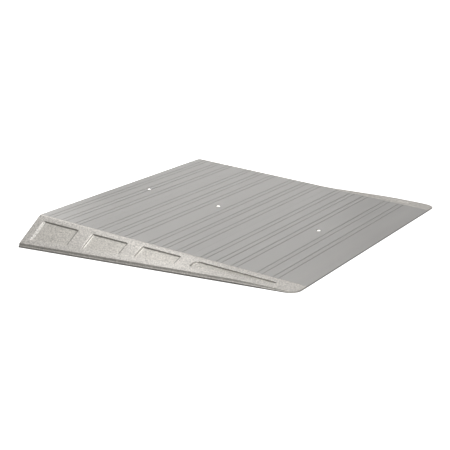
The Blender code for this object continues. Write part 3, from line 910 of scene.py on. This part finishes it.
    def lean_walls(self, pocket: Pocket, verts: list[BMVert], rim: set[BMVert]) -> None:
        """Give each wall of a pocket its own lean, its own dark casting skin with painted shade, and its
        own wear with a painted highlight.

        Args:
            pocket: the pocket's place.
            verts: the points of its walls and rim.
            rim: the points of its outermost ring.
        """
        skin_and_shade = self.bm.verts.layers.float[SKIN_AND_SHADE_TAG]
        wear_and_highlight = self.bm.verts.layers.float[RIM_WEAR_AND_HIGHLIGHT_TAG]
        middle = (pocket.start + pocket.end) / 2
        long, wide = pocket.end - pocket.start, pocket.lower(middle) - pocket.upper(middle)
        skin_and_shade_start, skin_and_shade_end = self.rear_skin_and_shade_span
        for vert in verts:
            down, offset = vert.co.x, vert.co.y
            share = -vert.co.z / self.pocket_depth
            walls = (
                (abs(down - pocket.start), skin_and_shade_start * pocket.rear_wear_and_highlight, skin_and_shade_end, pocket.rear_skin_and_shade),
                (abs(pocket.end - down), *self.toe_skin_and_shade),
                (abs(offset - pocket.upper(down)), *self.upper_skin_and_shade),
                (abs(pocket.lower(down) - offset), *self.lower_skin_and_shade),
            )
            nearest, first, last, skin = min(walls)
            skinned_or_shaded = first < share < last and vert not in rim
            # Painted shade, with casting skin, on the steep part of each wall.
            vert[skin_and_shade] = skin if skinned_or_shaded else 0.0
            # Painted highlight, with wear, on the rear wall's rim and fillet where it has no casting skin.
            if nearest == walls[0][0] and vert not in rim and not skinned_or_shaded:
                vert[wear_and_highlight] = pocket.rear_wear_and_highlight * (1.0 if share < self.floor_share else self.floor_wear_and_highlight)
            toward_rear = 1.0 - (down - pocket.start) / long
            toward_deck = 1.0 - (offset - pocket.upper(down)) / wide
            spread = self.rim_spread * (1.0 - share) ** self.rim_spread_power
            vert.co.x += share ** self.lean_power * toward_rear * (pocket.rear_draft - self.pocket_draft)
            vert.co.x += spread * (1.0 - 2.0 * toward_rear)
            vert.co.y -= share * toward_deck * (self.pocket_draft - self.pocket_upper_draft)

    def tag(self) -> None:
        """Mark how far each point is sunk, and the rims where no casting skin is laid, as worn and given a
        painted highlight.
        """
        layers = self.bm.verts.layers.float
        recess, rim, skin_and_shade = layers[FLOOR_TAG], layers[RIM_WEAR_AND_HIGHLIGHT_TAG], layers[SKIN_AND_SHADE_TAG]
        for vert in self.bm.verts:
            vert[recess] = min(max(-vert.co.z / self.pocket_depth, 0.0), 1.0)
            # Painted highlight, with wear, on the rounded rims.
            if -self.rim_radius < vert.co.z < -self.touch and not vert[skin_and_shade]:
                vert[rim] = 1.0

    def cut_grid(self) -> None:
        """Cut the flat skin into small cells, so that it can follow the warped surface."""
        steps = int(self.ramp.run / self.grid)
        for i in range(1, steps):
            self.cut_flat(self.bm.faces, (self.ramp.run * i / steps, 0.0), (0.0, 1.0))
        rear = self.straight_width(0.0) - self.lip_inset(0.0) - self.margin
        toe = self.straight_width(self.ramp.run) - self.lip_inset(self.ramp.run) - self.margin
        for i in range(1, self.lanes):
            share = i / self.lanes
            low, high = self.margin + rear * share, self.margin + toe * share
            self.cut_flat(self.bm.faces, (0.0, low), (self.ramp.run, high - low))

    def foot_point(self, down: float, offset: float) -> tuple[Pair, Pair]:
        """Nearest point of the footprint's outline and the direction from it into the wing.

        Args:
            down: distance down of a point on the skin's outer edge.
            offset: offset of that point.

        Returns:
            The outline's point and the inward direction, each as distance down and offset.
        """
        run, radius = self.ramp.run, self.corner_radius
        centre = (run - radius, self.straight_width(run) - radius)
        if down <= centre[0]:
            return (down, self.straight_width(down)), (0.0, -1.0)
        if offset <= centre[1]:
            return (run, offset), (-1.0, 0.0)
        away = Vector((down - centre[0], offset - centre[1])).normalized()
        foot_down = centre[0] + away.x * radius
        foot_offset = self.straight_width(foot_down) - radius * (1.0 - away.y)
        return (foot_down, foot_offset), (-away.x, -away.y)

    def lip_rows(self, foot: Pair, inward: Pair, slant: float, top: float) -> list[Vector]:
        """Points of the lip's rounded outline at one place.

        Args:
            foot: point of the footprint's outline, as distance down and offset.
            inward: direction from it into the wing.
            slant: fall of the upper surface towards the edge.
            top: height of the sharp top edge, before rounding.

        Returns:
            Points in the ramp's frame, from the skin's edge to the ground.
        """
        ground = self.ramp.ground_gap
        scale = self.lip_scale(min(foot[0], self.ramp.run))
        lean, step, radius = self.lip_lean * scale, self.lip_step * scale, self.edge_radius * scale
        low = ground + self.lip_foot_share * (top - ground)
        corners = [
            (lean + step + radius, top + slant * radius), (lean + step, top), (step, low + step / 2),
            (0.0, low), (0.0, ground),
        ]
        line = rounded(corners, [radius * share for share in self.lip_rounding])
        return [self.place(*along(foot, inward, inset), height) for inset, height in line[1:]]

    def flat_of(self, place: Vector) -> Pair:
        """Distance down and offset of a place in the ramp's frame."""
        return self.ramp.run / 2 - place.y, self.side.value * place.x - self.ramp.half

    def open_edges(self, chosen: Callable[[float, float], bool]) -> list[BMEdge]:
        """Open edges with both ends where the chosen rule of distance down and offset holds."""
        return [
            edge for edge in self.bm.edges
            if edge.is_boundary and all(chosen(*self.flat_of(vert.co)) for vert in edge.verts)
        ]

    def wrap(self) -> None:
        """Carry the flat skin onto the wing's warped surface."""
        for vert in self.bm.verts:
            down, offset, rise = vert.co
            vert.co = self.place(down, offset, self.height(down, offset) + rise)
        if self.side is Side.LEFT:
            bmesh.ops.reverse_faces(self.bm, faces=self.bm.faces[:])

    def roll_lip(self) -> None:
        """Roll the skin's outer and toe edges over into the lip, down to the ground."""
        inner = self.ramp.joint_gap / 2 + self.hold
        edges = [
            edge for edge in self.open_edges(lambda down, offset: True)
            if not all(abs(self.flat_of(vert.co)[1] - inner) < WELD for vert in edge.verts)
            and not all(abs(self.flat_of(vert.co)[0] - self.rear_radius) < WELD for vert in edge.verts)
        ]
        strands = {}
        for vert in {vert for edge in edges for vert in edge.verts}:
            foot, inward = self.foot_point(*self.flat_of(vert.co))
            down = min(foot[0], self.ramp.run)
            inset, radius = self.lip_inset(down), self.edge_radius * self.lip_scale(down)
            edge, start = along(foot, inward, inset), along(foot, inward, inset + radius)
            top, rise = self.height(*edge), self.height(*start)
            vert.co = self.place(*start, rise)
            strands[vert] = self.lip_rows(foot, inward, (rise - top) / radius, top)[1:]
        skin_and_shade = self.bm.verts.layers.float[SKIN_AND_SHADE_TAG]
        _, rows = self.pull(edges, strands)
        # The lip's rows get dark casting skin with painted shade, strongest on its upright faces.
        for row, skin in zip(rows, self.lip_skin_and_shade):
            for vert in row:
                vert[skin_and_shade] = skin

    def close_inner(self) -> None:
        """Turn the skin's inner edge down into the joint beside the planks."""
        gap, ground = self.ramp.joint_gap / 2, self.ramp.ground_gap
        bend = self.hold * self.inner_bend
        edges = self.open_edges(lambda down, offset: abs(offset - gap - self.hold) < NEAR)
        strands = {}
        for vert in {vert for edge in edges for vert in edge.verts}:
            down, _ = self.flat_of(vert.co)
            tread = self.ramp.tread_height(down)
            strands[vert] = [
                self.place(down, offset, max(min(vert.co.z, tread - drop), ground))
                for offset, drop in ((gap + bend, bend), (gap, self.hold))
            ]
        self.pull(edges, strands)

    def close_rear(self) -> None:
        """Round the rear rim and close the rear face."""
        edges = self.open_edges(lambda down, offset: abs(down - self.rear_radius) < NEAR)
        self.bm.normal_update()
        turns = [math.pi / 2 * i / self.rear_steps for i in range(1, self.rear_steps + 1)]
        strands = {}
        for vert in {vert for edge in edges for vert in edge.verts}:
            outward = Vector((vert.normal.x, 0.0, vert.normal.z)).normalized()
            places = []
            for turn in turns:
                back = Vector((0.0, self.rear_radius * math.sin(turn), 0.0))
                place = vert.co + back - outward * self.rear_radius * (1.0 - math.cos(turn))
                place.z = max(place.z, self.ramp.ground_gap)
                places.append(place)
            strands[vert] = places
        edges, _ = self.pull(edges, strands)
        foot = self.bm.verts.new(self.place(0.0, self.ramp.joint_gap / 2, self.ramp.ground_gap))
        self.fill_chain(edges, foot)

    def fill_chain(self, edges: list[BMEdge], last: BMVert) -> None:
        """Fill an open chain of edges, and one more point, with a face.

        Args:
            edges: the chain.
            last: the point that closes it.
        """
        touching: dict[BMVert, list[BMEdge]] = {}
        for edge in edges:
            for vert in edge.verts:
                touching.setdefault(vert, []).append(edge)
        ends = [vert for vert, around in touching.items() if len(around) == 1]
        chain = [ends[0]]
        used: set[BMEdge] = set()
        while True:
            onward = [edge for edge in touching[chain[-1]] if edge not in used]
            if not onward:
                break
            used.add(onward[0])
            chain.append(onward[0].other_vert(chain[-1]))
        face = self.bm.faces.new([*chain, last])
        face.normal_update()
        if face.normal.y < 0:
            face.normal_flip()

    def add_underside(self) -> None:
        """Take the hollow underside, the ribs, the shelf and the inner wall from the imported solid."""
        solid = bmesh.new()
        solid.from_mesh(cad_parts[self.node].data)
        bmesh.ops.remove_doubles(solid, verts=solid.verts[:], dist=WELD)
        solid.normal_update()
        bmesh.ops.delete(solid, geom=[f for f in solid.faces if self.is_outer(f)], context="FACES")
        for vert in solid.verts:
            down, offset = self.flat_of(vert.co)
            at_joint = abs(offset - self.ramp.joint_gap / 2) < NEAR
            if at_joint and self.ramp.tread_height(down) - vert.co.z < NEAR:
                vert.co.z -= self.hold
        mesh = bpy.data.meshes.new("underside")
        solid.to_mesh(mesh)
        solid.free()
        skin = set(self.bm.verts)
        self.bm.from_mesh(mesh)
        bpy.data.meshes.remove(mesh)
        self.close_seam(self.rim_loop(skin), self.rim_loop(set(self.bm.verts) - skin))

    def rim_loop(self, within: set[BMVert]) -> list[BMVert]:
        """Points of the open rim of a part of the mesh, in order.

        Args:
            within: the points of that part.

        Returns:
            The rim's points, once round.
        """
        start = next(edge for edge in self.bm.edges if edge.is_boundary and edge.verts[0] in within)
        loop, edge = [start.verts[0]], start
        while edge.other_vert(loop[-1]) is not loop[0]:
            loop.append(edge.other_vert(loop[-1]))
            edge = next(other for other in loop[-1].link_edges if other.is_boundary and other is not edge)
        return loop

    def close_seam(self, ring: list[BMVert], corners: list[BMVert]) -> None:
        """Join the underside's coarse rim to the skin's fine one, point by point.

        Args:
            ring: the skin's rim, in order.
            corners: the underside's rim, in order.
        """
        for corner in corners:
            spots = []
            for i, after in enumerate(ring):
                share = self.share_along(corner.co, ring[i - 1].co, after.co)
                place = ring[i - 1].co.lerp(after.co, share)
                spots.append(((place - corner.co).length, i, share, place))
            _, i, share, place = min(spots, key=lambda spot: spot[0])
            before, after = ring[i - 1], ring[i]
            near = min((before, after), key=lambda end: (end.co - place).length)
            if (near.co - place).length > self.snap:
                edge = next(edge for edge in before.link_edges if edge.other_vert(before) is after)
                near = bmesh.utils.edge_split(edge, before, share)[1]
                ring.insert(i, near)
            corner.co = near.co
        at = [next(i for i, vert in enumerate(ring) if vert.co == corner.co) for corner in corners]
        count = len(ring)
        steps = [(after - before) % count for before, after in zip(at, at[1:] + at[:1])]
        if sum(steps) != count:
            ring.reverse()
            at = [count - 1 - i for i in at]
            steps = [(after - before) % count for before, after in zip(at, at[1:] + at[:1])]
        for first, step, corner, onward in zip(at, steps, corners, corners[1:] + corners[:1]):
            last = corner
            for i in range(first + 1, first + step):
                edge = next(edge for edge in last.link_edges if edge.other_vert(last) is onward)
                last = bmesh.utils.edge_split(edge, last, 0.5)[1]
                last.co = ring[i % count].co
        rim = dict.fromkeys(vert for edge in self.bm.edges if edge.is_boundary for vert in edge.verts)
        bmesh.ops.remove_doubles(self.bm, verts=list(rim), dist=WELD / 10)

    @staticmethod
    def share_along(place: Vector, start: Vector, end: Vector) -> float:
        """Share of the way from start to end that is nearest to a place."""
        line = end - start
        return min(max((place - start).dot(line) / line.length_squared, 0.0), 1.0)

    def is_outer(self, face: BMFace) -> bool:
        """Whether a face of the solid is on the side that the new skin covers.

        Args:
            face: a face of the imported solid.

        Returns:
            True on the upper surface and the lip, and on the rear and the toe face.
        """
        middle, normal = face.calc_center_median(), face.normal
        down, offset = self.flat_of(middle)
        if offset <= self.ramp.joint_gap or normal.z < self.faces_down:
            return False
        at_rear = down < self.end_reach and normal.y > self.faces_end
        at_toe = down > self.ramp.run - self.end_reach and normal.y < -self.faces_end
        if at_rear or at_toe:
            return True
        foot, _ = self.foot_point(down, offset)
        inside = math.hypot(foot[0] - down, foot[1] - offset)
        below = self.height(down, offset) - middle.z
        on_skin = below < self.pocket_depth + self.skin_reach or inside < self.lip_reach
        on_foot = inside < self.foot_reach and abs(normal.z) < self.faces_out
        return (normal.z > self.faces_up and on_skin) or on_foot

    def model(self) -> None:
        """Shape the wing: the skin flat, then warped, its rims turned down, and the underside."""
        self.flat_skin()
        for pocket in self.pockets:
            self.sink_pocket(pocket)
        self.tag()
        self.cut_grid()
        self.wrap()
        self.roll_lip()
        self.close_inner()
        self.close_rear()
        self.add_underside()


@dataclass(kw_only=True)
class EasedPiece(Piece):
    """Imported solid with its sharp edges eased."""

    ease: float
    ease_from: float = 40.0

    def is_eased(self, edge: BMEdge) -> bool:
        """Whether an edge is sharp enough to be eased."""
        return edge.calc_face_angle(0.0) > math.radians(self.ease_from)

    def model(self) -> None:
        """Shape the piece."""
        self.copy_solid()
        self.soften(self.ease, self.is_eased)


@dataclass(kw_only=True)
class DeckPlank(EasedPiece):
    """Extruded deck plank, with the sharp edges in its tread eased.

    Grime and painted shade lie in its grooves, and fully in the seat of its screw.
    """

    kind: ClassVar[str] = "extrusion"
    slot: ClassVar[Slot] = Slot.EXTRUDED
    smooth_to: ClassVar[float] = 12.0

    ramp: Ramp
    screw_station: float
    screw_seat: float = 0.0079
    ease: float = 0.00022
    ease_from: float = 20.0
    level: float = 0.00005
    groove_depth: float = 0.002
    # Grime and painted shade in the grooves: where they start below the tread, how fast they deepen and
    # their most.
    grime_start: float = 0.0002
    grime_rise: float = 0.0016
    groove_grime_and_shade: float = 0.37

    def is_eased(self, edge: BMEdge) -> bool:
        """Whether an edge lies in the tread and is sharp."""
        level = all(abs(self.ramp.below_tread(vert.co)[1]) < self.level for vert in edge.verts)
        return level and super().is_eased(edge)

    def grime(self, place: Vector) -> float:
        """Share of full grime and painted shade at a place of the plank.

        Args:
            place: the place in the ramp's frame.

        Returns:
            One in the screw's seat, a share just below the tread, and zero elsewhere.
        """
        station, depth = self.ramp.below_tread(place)
        # The screw's seat is fully darkened with painted shade and grime.
        if math.hypot(place.x, station - self.screw_station) < self.screw_seat:
            return 1.0
        if depth >= self.groove_depth:
            return 0.0
        return min(max((depth - self.grime_start) / self.grime_rise, 0.0), self.groove_grime_and_shade)

    def model(self) -> None:
        """Shape the plank and lay the grime and painted shade."""
        super().model()
        groove = self.bm.verts.layers.float.new(GROOVE_TAG)
        for vert in self.bm.verts:
            vert[groove] = self.grime(vert.co)


@dataclass(kw_only=True)
class CentreStringer(EasedPiece):
    """Hat-section stringer under the middle of the deck, with its cut edges eased."""

    kind: ClassVar[str] = "section"
    slot: ClassVar[Slot] = Slot.EXTRUDED
    smooth_to: ClassVar[float] = 12.0

    node: str = "centre_stringer"
    ease: float = 0.0006


@dataclass(kw_only=True)
class FootStrip(EasedPiece):
    """Moulded rubber strip under a casting or the stringer, with eased edges."""

    kind: ClassVar[str] = "moulding"
    slot: ClassVar[Slot] = Slot.RUBBER

    ease: float = 0.0004


@dataclass(frozen=True)
class ScrewSize:
    """Sizes of a countersunk screw with a hexagon socket, and how many sides it is drawn with."""

    head: float
    cone: float
    shank: float
    length: float
    socket: float
    pitch: float
    segments: int


@dataclass(kw_only=True)
class CountersunkScrew(Piece):
    """Countersunk machine screw with a hexagon socket and a rolled thread.

    The tip's length and chamfer are shares of the shank. The thread's depth, the ridge that is wound
    round it and the ridge's crest are shares of the pitch.
    """

    kind: ClassVar[str] = "hex"
    slot: ClassVar[Slot] = Slot.STEEL
    smooth_to: ClassVar[float] = 25.0

    face: Vector
    outward: Vector
    size: ScrewSize
    edge: float = 0.0003
    edge_bend: float = 0.3
    # Width of the ring round the face's edge that gets grime and painted shade.
    grime: float = 0.0014
    grime_ring: float = 0.7
    neck: float = 0.0006
    tip: float = 0.12
    tip_chamfer: float = 0.10
    socket_depth: float = 0.0022
    socket_cone: float = 0.0009
    socket_edge: float = 0.00018
    core_depth: float = 0.55
    ridge_depth: float = 0.58
    ridge_width: float = 0.92
    crest: Pair = (0.40, 0.52)
    thread_start: float = 0.0014
    thread_end: float = 0.0016
    turn_steps: int = 20

    def turned_body(self) -> None:
        """Spin the head's cone, the shank and the tip, from the face's rim down."""
        bm, size = self.bm, self.size
        radius, rim = size.shank / 2, size.head / 2
        core = radius - size.pitch * self.core_depth
        bend = self.edge * self.edge_bend
        profile = [
            (rim - self.grime, 0.0), (rim - self.grime * self.grime_ring, 0.0), (rim - self.edge, 0.0),
            (rim - bend, -bend), (rim, -self.edge),
            (radius, -size.cone), (radius, -size.cone - self.neck), (core, -size.cone - self.neck * 2),
            (core, -size.length + size.shank * self.tip),
            (core - size.shank * self.tip_chamfer, -size.length), (0.0, -size.length),
        ]
        verts = [bm.verts.new((distance, 0.0, level)) for distance, level in profile]
        edges = [bm.edges.new(pair) for pair in zip(verts, verts[1:])]
        bmesh.ops.spin(
            bm, geom=[*verts, *edges], cent=(0, 0, 0), axis=(0, 0, 1), angle=2 * math.pi,
            steps=size.segments, use_merge=True,
        )
        bmesh.ops.remove_doubles(bm, verts=bm.verts[:], dist=WELD / 10)
        # Points of the ring round the face's edge get grime and painted shade.
        grime = bm.verts.layers.float.new(GRIME_AND_SHADE_TAG)
        for vert in bm.verts:
            if vert.co.z > -size.cone and vert.co.xy.length > rim - self.grime + NEAR:
                vert[grime] = 1.0

    def head_face(self) -> None:
        """Fill the head's face around a hexagon socket with a chamfered rim."""
        bm = self.bm
        rim = [edge for edge in bm.edges if edge.is_boundary]
        inside = self.size.socket / math.sqrt(3)
        corners = bmesh.ops.create_circle(
            bm, cap_ends=False, segments=6, radius=inside + self.socket_edge,
        )["verts"]
        hexagon = [edge for edge in bm.edges if all(vert in corners for vert in edge.verts)]
        bmesh.ops.bridge_loops(bm, edges=rim + hexagon)
        bottom = self.socket_depth + self.socket_cone
        rows = ((inside, self.socket_edge), (inside, self.socket_depth), (0.0, bottom))
        self.pull(hexagon, {
            vert: [vert.co.normalized() * distance - Vector((0.0, 0.0, depth)) for distance, depth in rows]
            for vert in corners
        })
        bmesh.ops.remove_doubles(bm, verts=bm.verts[:], dist=WELD / 10)

    def thread(self) -> None:
        """Wind the thread's ridge round the core."""
        bm, size = self.bm, self.size
        radius = size.shank / 2
        core = radius - size.pitch * self.ridge_depth
        start = -size.cone - self.thread_start
        ridge = ((core, 0.0), (radius, self.crest[0]), (radius, self.crest[1]), (core, self.ridge_width))
        verts = [bm.verts.new((distance, 0.0, start - size.pitch * share)) for distance, share in ridge]
        edges = [bm.edges.new(pair) for pair in zip(verts, verts[1:] + verts[:1])]
        turns = (size.length - size.cone - size.shank * self.tip - self.thread_end) / size.pitch
        steps = int(turns * self.turn_steps)
        bmesh.ops.spin(
            bm, geom=[*verts, *edges], cent=(0, 0, 0), axis=(0, 0, 1),
            dvec=(0, 0, -size.pitch / self.turn_steps), angle=2 * math.pi * steps / self.turn_steps,
            steps=steps, use_merge=False,
        )
        bmesh.ops.holes_fill(bm, edges=[edge for edge in bm.edges if edge.is_boundary], sides=4)

    def model(self) -> None:
        """Shape the screw and stand it in its seat."""
        self.turned_body()
        self.head_face()
        self.thread()
        bmesh.ops.recalc_face_normals(self.bm, faces=self.bm.faces[:])
        turn = self.outward.to_track_quat("Z", "Y").to_matrix().to_4x4()
        self.bm.transform(Matrix.Translation(self.face) @ turn)


@dataclass
class Fasteners:
    """Every screw of the ramp: three from above on the centre line, six a side from below."""

    ramp: Ramp
    deck_stations: tuple[float, ...] = (0.08985, 0.3627, 0.7287)
    deck_size: ScrewSize = ScrewSize(
        head=0.0145, cone=0.0040, shank=0.008, length=0.030, socket=0.0050, pitch=0.00125, segments=32,
    )
    deck_recess: float = 0.0006
    tip_gap: float = 0.0016
    shelf_stations: tuple[float, ...] = (0.08985, 0.2713, 0.3627, 0.4541, 0.6373, 0.7287)
    shelf_size: ScrewSize = ScrewSize(
        head=0.0113, cone=0.0030, shank=0.006, length=0.0115, socket=0.0040, pitch=0.0010, segments=24,
    )
    shelf_width: float = 0.026
    shelf_thickness: float = 0.005

    def toe_tilt(self) -> float:
        """Slope of the toe plank's underside.

        Returns:
            Its angle to the ground, in radians.
        """
        start = self.ramp.seams[1] * math.cos(self.ramp.slope)
        end = self.ramp.run - self.ramp.support_end
        fall = self.ramp.underside_height(start) - self.ramp.underside_height(end)
        return math.atan2(fall, end - start)

    def deck_screws(self) -> list[CountersunkScrew]:
        """Screws on the centre line. The last is as short as the toe plank is low.

        Returns:
            The screws, from the rear edge to the toe.
        """
        ramp, size = self.ramp, self.deck_size
        level = math.cos(ramp.slope)
        low = ramp.tread_height(self.deck_stations[2] * level) - ramp.ground_gap - self.tip_gap
        sizes = (size, size, replace(size, length=low * level - self.deck_recess))
        screws = []
        for i, (station, own_size) in enumerate(zip(self.deck_stations, sizes), 1):
            face = ramp.rear_edge + ramp.down * station - ramp.up * self.deck_recess
            screws.append(CountersunkScrew(
                node=f"deck_screw_{i}", face=face, outward=ramp.up, size=own_size,
            ))
        return screws

    def shelf_screws(self, side: Side) -> list[CountersunkScrew]:
        """Screws through one wing's shelf, with their heads down.

        Args:
            side: the wing's side.

        Returns:
            The screws, from the rear edge to the toe.
        """
        ramp = self.ramp
        screws = []
        for i, station in enumerate(self.shelf_stations, 1):
            down = station * math.cos(ramp.slope)
            tilt = ramp.slope if station < ramp.seams[1] else self.toe_tilt()
            low = ramp.underside_height(down) - ramp.joint_gap - self.shelf_thickness
            face = Vector((side.value * (ramp.half - self.shelf_width / 2), ramp.run / 2 - down, low))
            outward = Vector((0.0, math.sin(tilt), -math.cos(tilt)))
            screws.append(CountersunkScrew(
                node=f"shelf_screw_{side.label}_{i}", face=face, outward=outward, size=self.shelf_size,
            ))
        return screws


@dataclass(frozen=True)
class Softbox:
    """Soft light: where it hangs, seen from the ramp, and how large and strong it is.

    The bearing is in degrees from +X towards +Y and the height in degrees above the floor.
    """

    name: str
    bearing: float
    height: float
    power: float
    distance: float = 3.6
    size: Pair = (1.6, 1.6)

    def hang(self) -> Object:
        """Hang the light, facing the middle of the ramp.

        Returns:
            The light's object.
        """
        data = bpy.data.lights.new(self.name, "AREA")
        data.shape = "RECTANGLE"
        data.size, data.size_y = self.size
        data.energy = self.power
        light = bpy.data.objects.new(self.name, data)
        bearing, height = math.radians(self.bearing), math.radians(self.height)
        away = Vector((
            math.cos(bearing) * math.cos(height), math.sin(bearing) * math.cos(height), math.sin(height),
        ))
        turn = away.to_track_quat("Z", "Y").to_matrix().to_4x4()
        light.matrix_world = Matrix.Translation(away * self.distance) @ turn
        bpy.context.scene.collection.objects.link(light)
        return light


@dataclass
class Studio:
    """Plain pale floor, soft lights and the camera."""

    focal_pixels: float = 1106.03444
    image_pixels: float = 450.0
    sensor_mm: float = 36.0
    pitch: float = math.radians(15.86993531)
    yaw: float = math.radians(59.40384867)
    eye: tuple[float, float, float] = (-2.99664, -1.70157, 0.97702)
    floor_radius: float = 20.0
    wall_height: float = 12.0
    floor_segments: int = 64
    paper_colour: str = "#f4f4f2"
    paper_roughness: float = 0.9
    paper_glow: float = 0.8
    light_colour: str = "#ffffff"
    sky_band: Pair = (-0.05, 0.6)
    sky_low: float = 0.20
    sky_high: float = 0.50
    softboxes: tuple[Softbox, ...] = (
        Softbox("key", 250.0, 62.0, 38.0, 3.6, (3.2, 3.2)),
        Softbox("overhead", 90.0, 86.0, 8.0),
        Softbox("toe_side", 310.0, 62.0, 10.0),
        Softbox("left_side", 180.0, 35.0, 15.0),
        Softbox("behind_high", 60.0, 62.0, 3.5),
        Softbox("behind_middle", 60.0, 35.0, 6.5),
        Softbox("behind_low", 60.0, 12.0, 5.0),
        Softbox("right_middle", 28.0, 35.0, 0.5),
        Softbox("right_low", 0.0, 12.0, 1.1),
        Softbox("strip_behind", 28.0, 20.1, 2.4, 3.578, (1.5, 0.16)),
    )

    def camera(self) -> None:
        """Stand the camera where the photograph was taken from."""
        data = bpy.data.cameras.new("camera")
        data.sensor_width = self.sensor_mm
        data.lens = self.focal_pixels / self.image_pixels * self.sensor_mm
        camera = bpy.data.objects.new("camera", data)
        forward = Vector((
            math.sin(self.yaw) * math.cos(self.pitch), math.cos(self.yaw) * math.cos(self.pitch),
            -math.sin(self.pitch),
        ))
        right = Vector((math.cos(self.yaw), -math.sin(self.yaw), 0.0))
        up = right.cross(forward)
        turn = Matrix((right, up, -forward)).transposed().to_4x4()
        camera.matrix_world = Matrix.Translation(self.eye) @ turn
        bpy.context.scene.collection.objects.link(camera)
        bpy.context.scene.camera = camera

    def paper(self) -> Object:
        """Lay the pale, softly lit paper of the floor and the wall round it.

        The metal doesn't mirror it.

        Returns:
            The paper's object.
        """
        bm = bmesh.new()
        bmesh.ops.create_circle(bm, cap_ends=True, segments=self.floor_segments, radius=self.floor_radius)
        raised = bmesh.ops.extrude_edge_only(bm, edges=[edge for edge in bm.edges if edge.is_boundary])
        for vert in [item for item in raised["geom"] if isinstance(item, BMVert)]:
            vert.co.z = self.wall_height
        mesh = bpy.data.meshes.new("studio_paper")
        bm.to_mesh(mesh)
        bm.free()
        paper = bpy.data.objects.new("studio_paper", mesh)
        material = bpy.data.materials.new("studio_paper")
        material.use_nodes = True
        shader = material.node_tree.nodes["Principled BSDF"]
        shader.inputs["Base Color"].default_value = linear(self.paper_colour)
        shader.inputs["Roughness"].default_value = self.paper_roughness
        shader.inputs["Emission Color"].default_value = linear(self.light_colour)
        shader.inputs["Emission Strength"].default_value = self.paper_glow
        mesh.materials.append(material)
        bpy.context.scene.collection.objects.link(paper)
        paper.visible_glossy = False
        paper.visible_diffuse = False
        paper.visible_shadow = False
        return paper

    def sky(self) -> None:
        """Light the room from all round: dim near the floor and brighter overhead."""
        world = bpy.data.worlds.new("studio_room")
        world.use_nodes = True
        bpy.context.scene.world = world
        tree = world.node_tree
        place = add_node(tree, "ShaderNodeTexCoord").outputs["Generated"]
        level = add_node(tree, "ShaderNodeSeparateXYZ", None, {"Vector": place}).outputs["Z"]
        strength = add_node(tree, "ShaderNodeMapRange", {"interpolation_type": "SMOOTHSTEP"}, {
            "Value": level, "From Min": self.sky_band[0], "From Max": self.sky_band[1],
            "To Min": self.sky_low, "To Max": self.sky_high,
        }).outputs["Result"]
        background = tree.nodes["Background"]
        background.inputs["Color"].default_value = linear(self.light_colour)
        tree.links.new(strength, background.inputs["Strength"])

    def build(self) -> None:
        """Set up the studio."""
        bpy.context.scene.view_settings.view_transform = "Standard"
        self.sky()
        self.paper()
        for softbox in self.softboxes:
            softbox.hang()
        self.camera()


def main() -> None:
    """Build every piece in order and report it."""
    logging.basicConfig(level=logging.INFO, format="%(name)s %(message)s")
    ramp = Ramp()
    extruded = ExtrudedAluminium(slope=ramp.slope).build()
    cast = CastAluminium().build()
    steel = StainlessSteel().build()
    rubber = MouldedRubber().build()
    for side in Side:
        SideWing(node=f"side_wing_{side.label}", ramp=ramp, side=side).build(cast)
    fasteners = Fasteners(ramp)
    for node, station in zip(("rear_plank", "middle_plank", "toe_plank"), fasteners.deck_stations):
        DeckPlank(node=node, ramp=ramp, screw_station=station).build(extruded)
    CentreStringer().build(extruded)
    for screw in fasteners.deck_screws():
        screw.build(steel)
    for side in Side:
        for screw in fasteners.shelf_screws(side):
            screw.build(steel)
    for node in sorted(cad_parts):
        if node.startswith("foot_strip"):
            FootStrip(node=node).build(rubber)
    Studio().build()


if __name__ == "__main__":
    main()
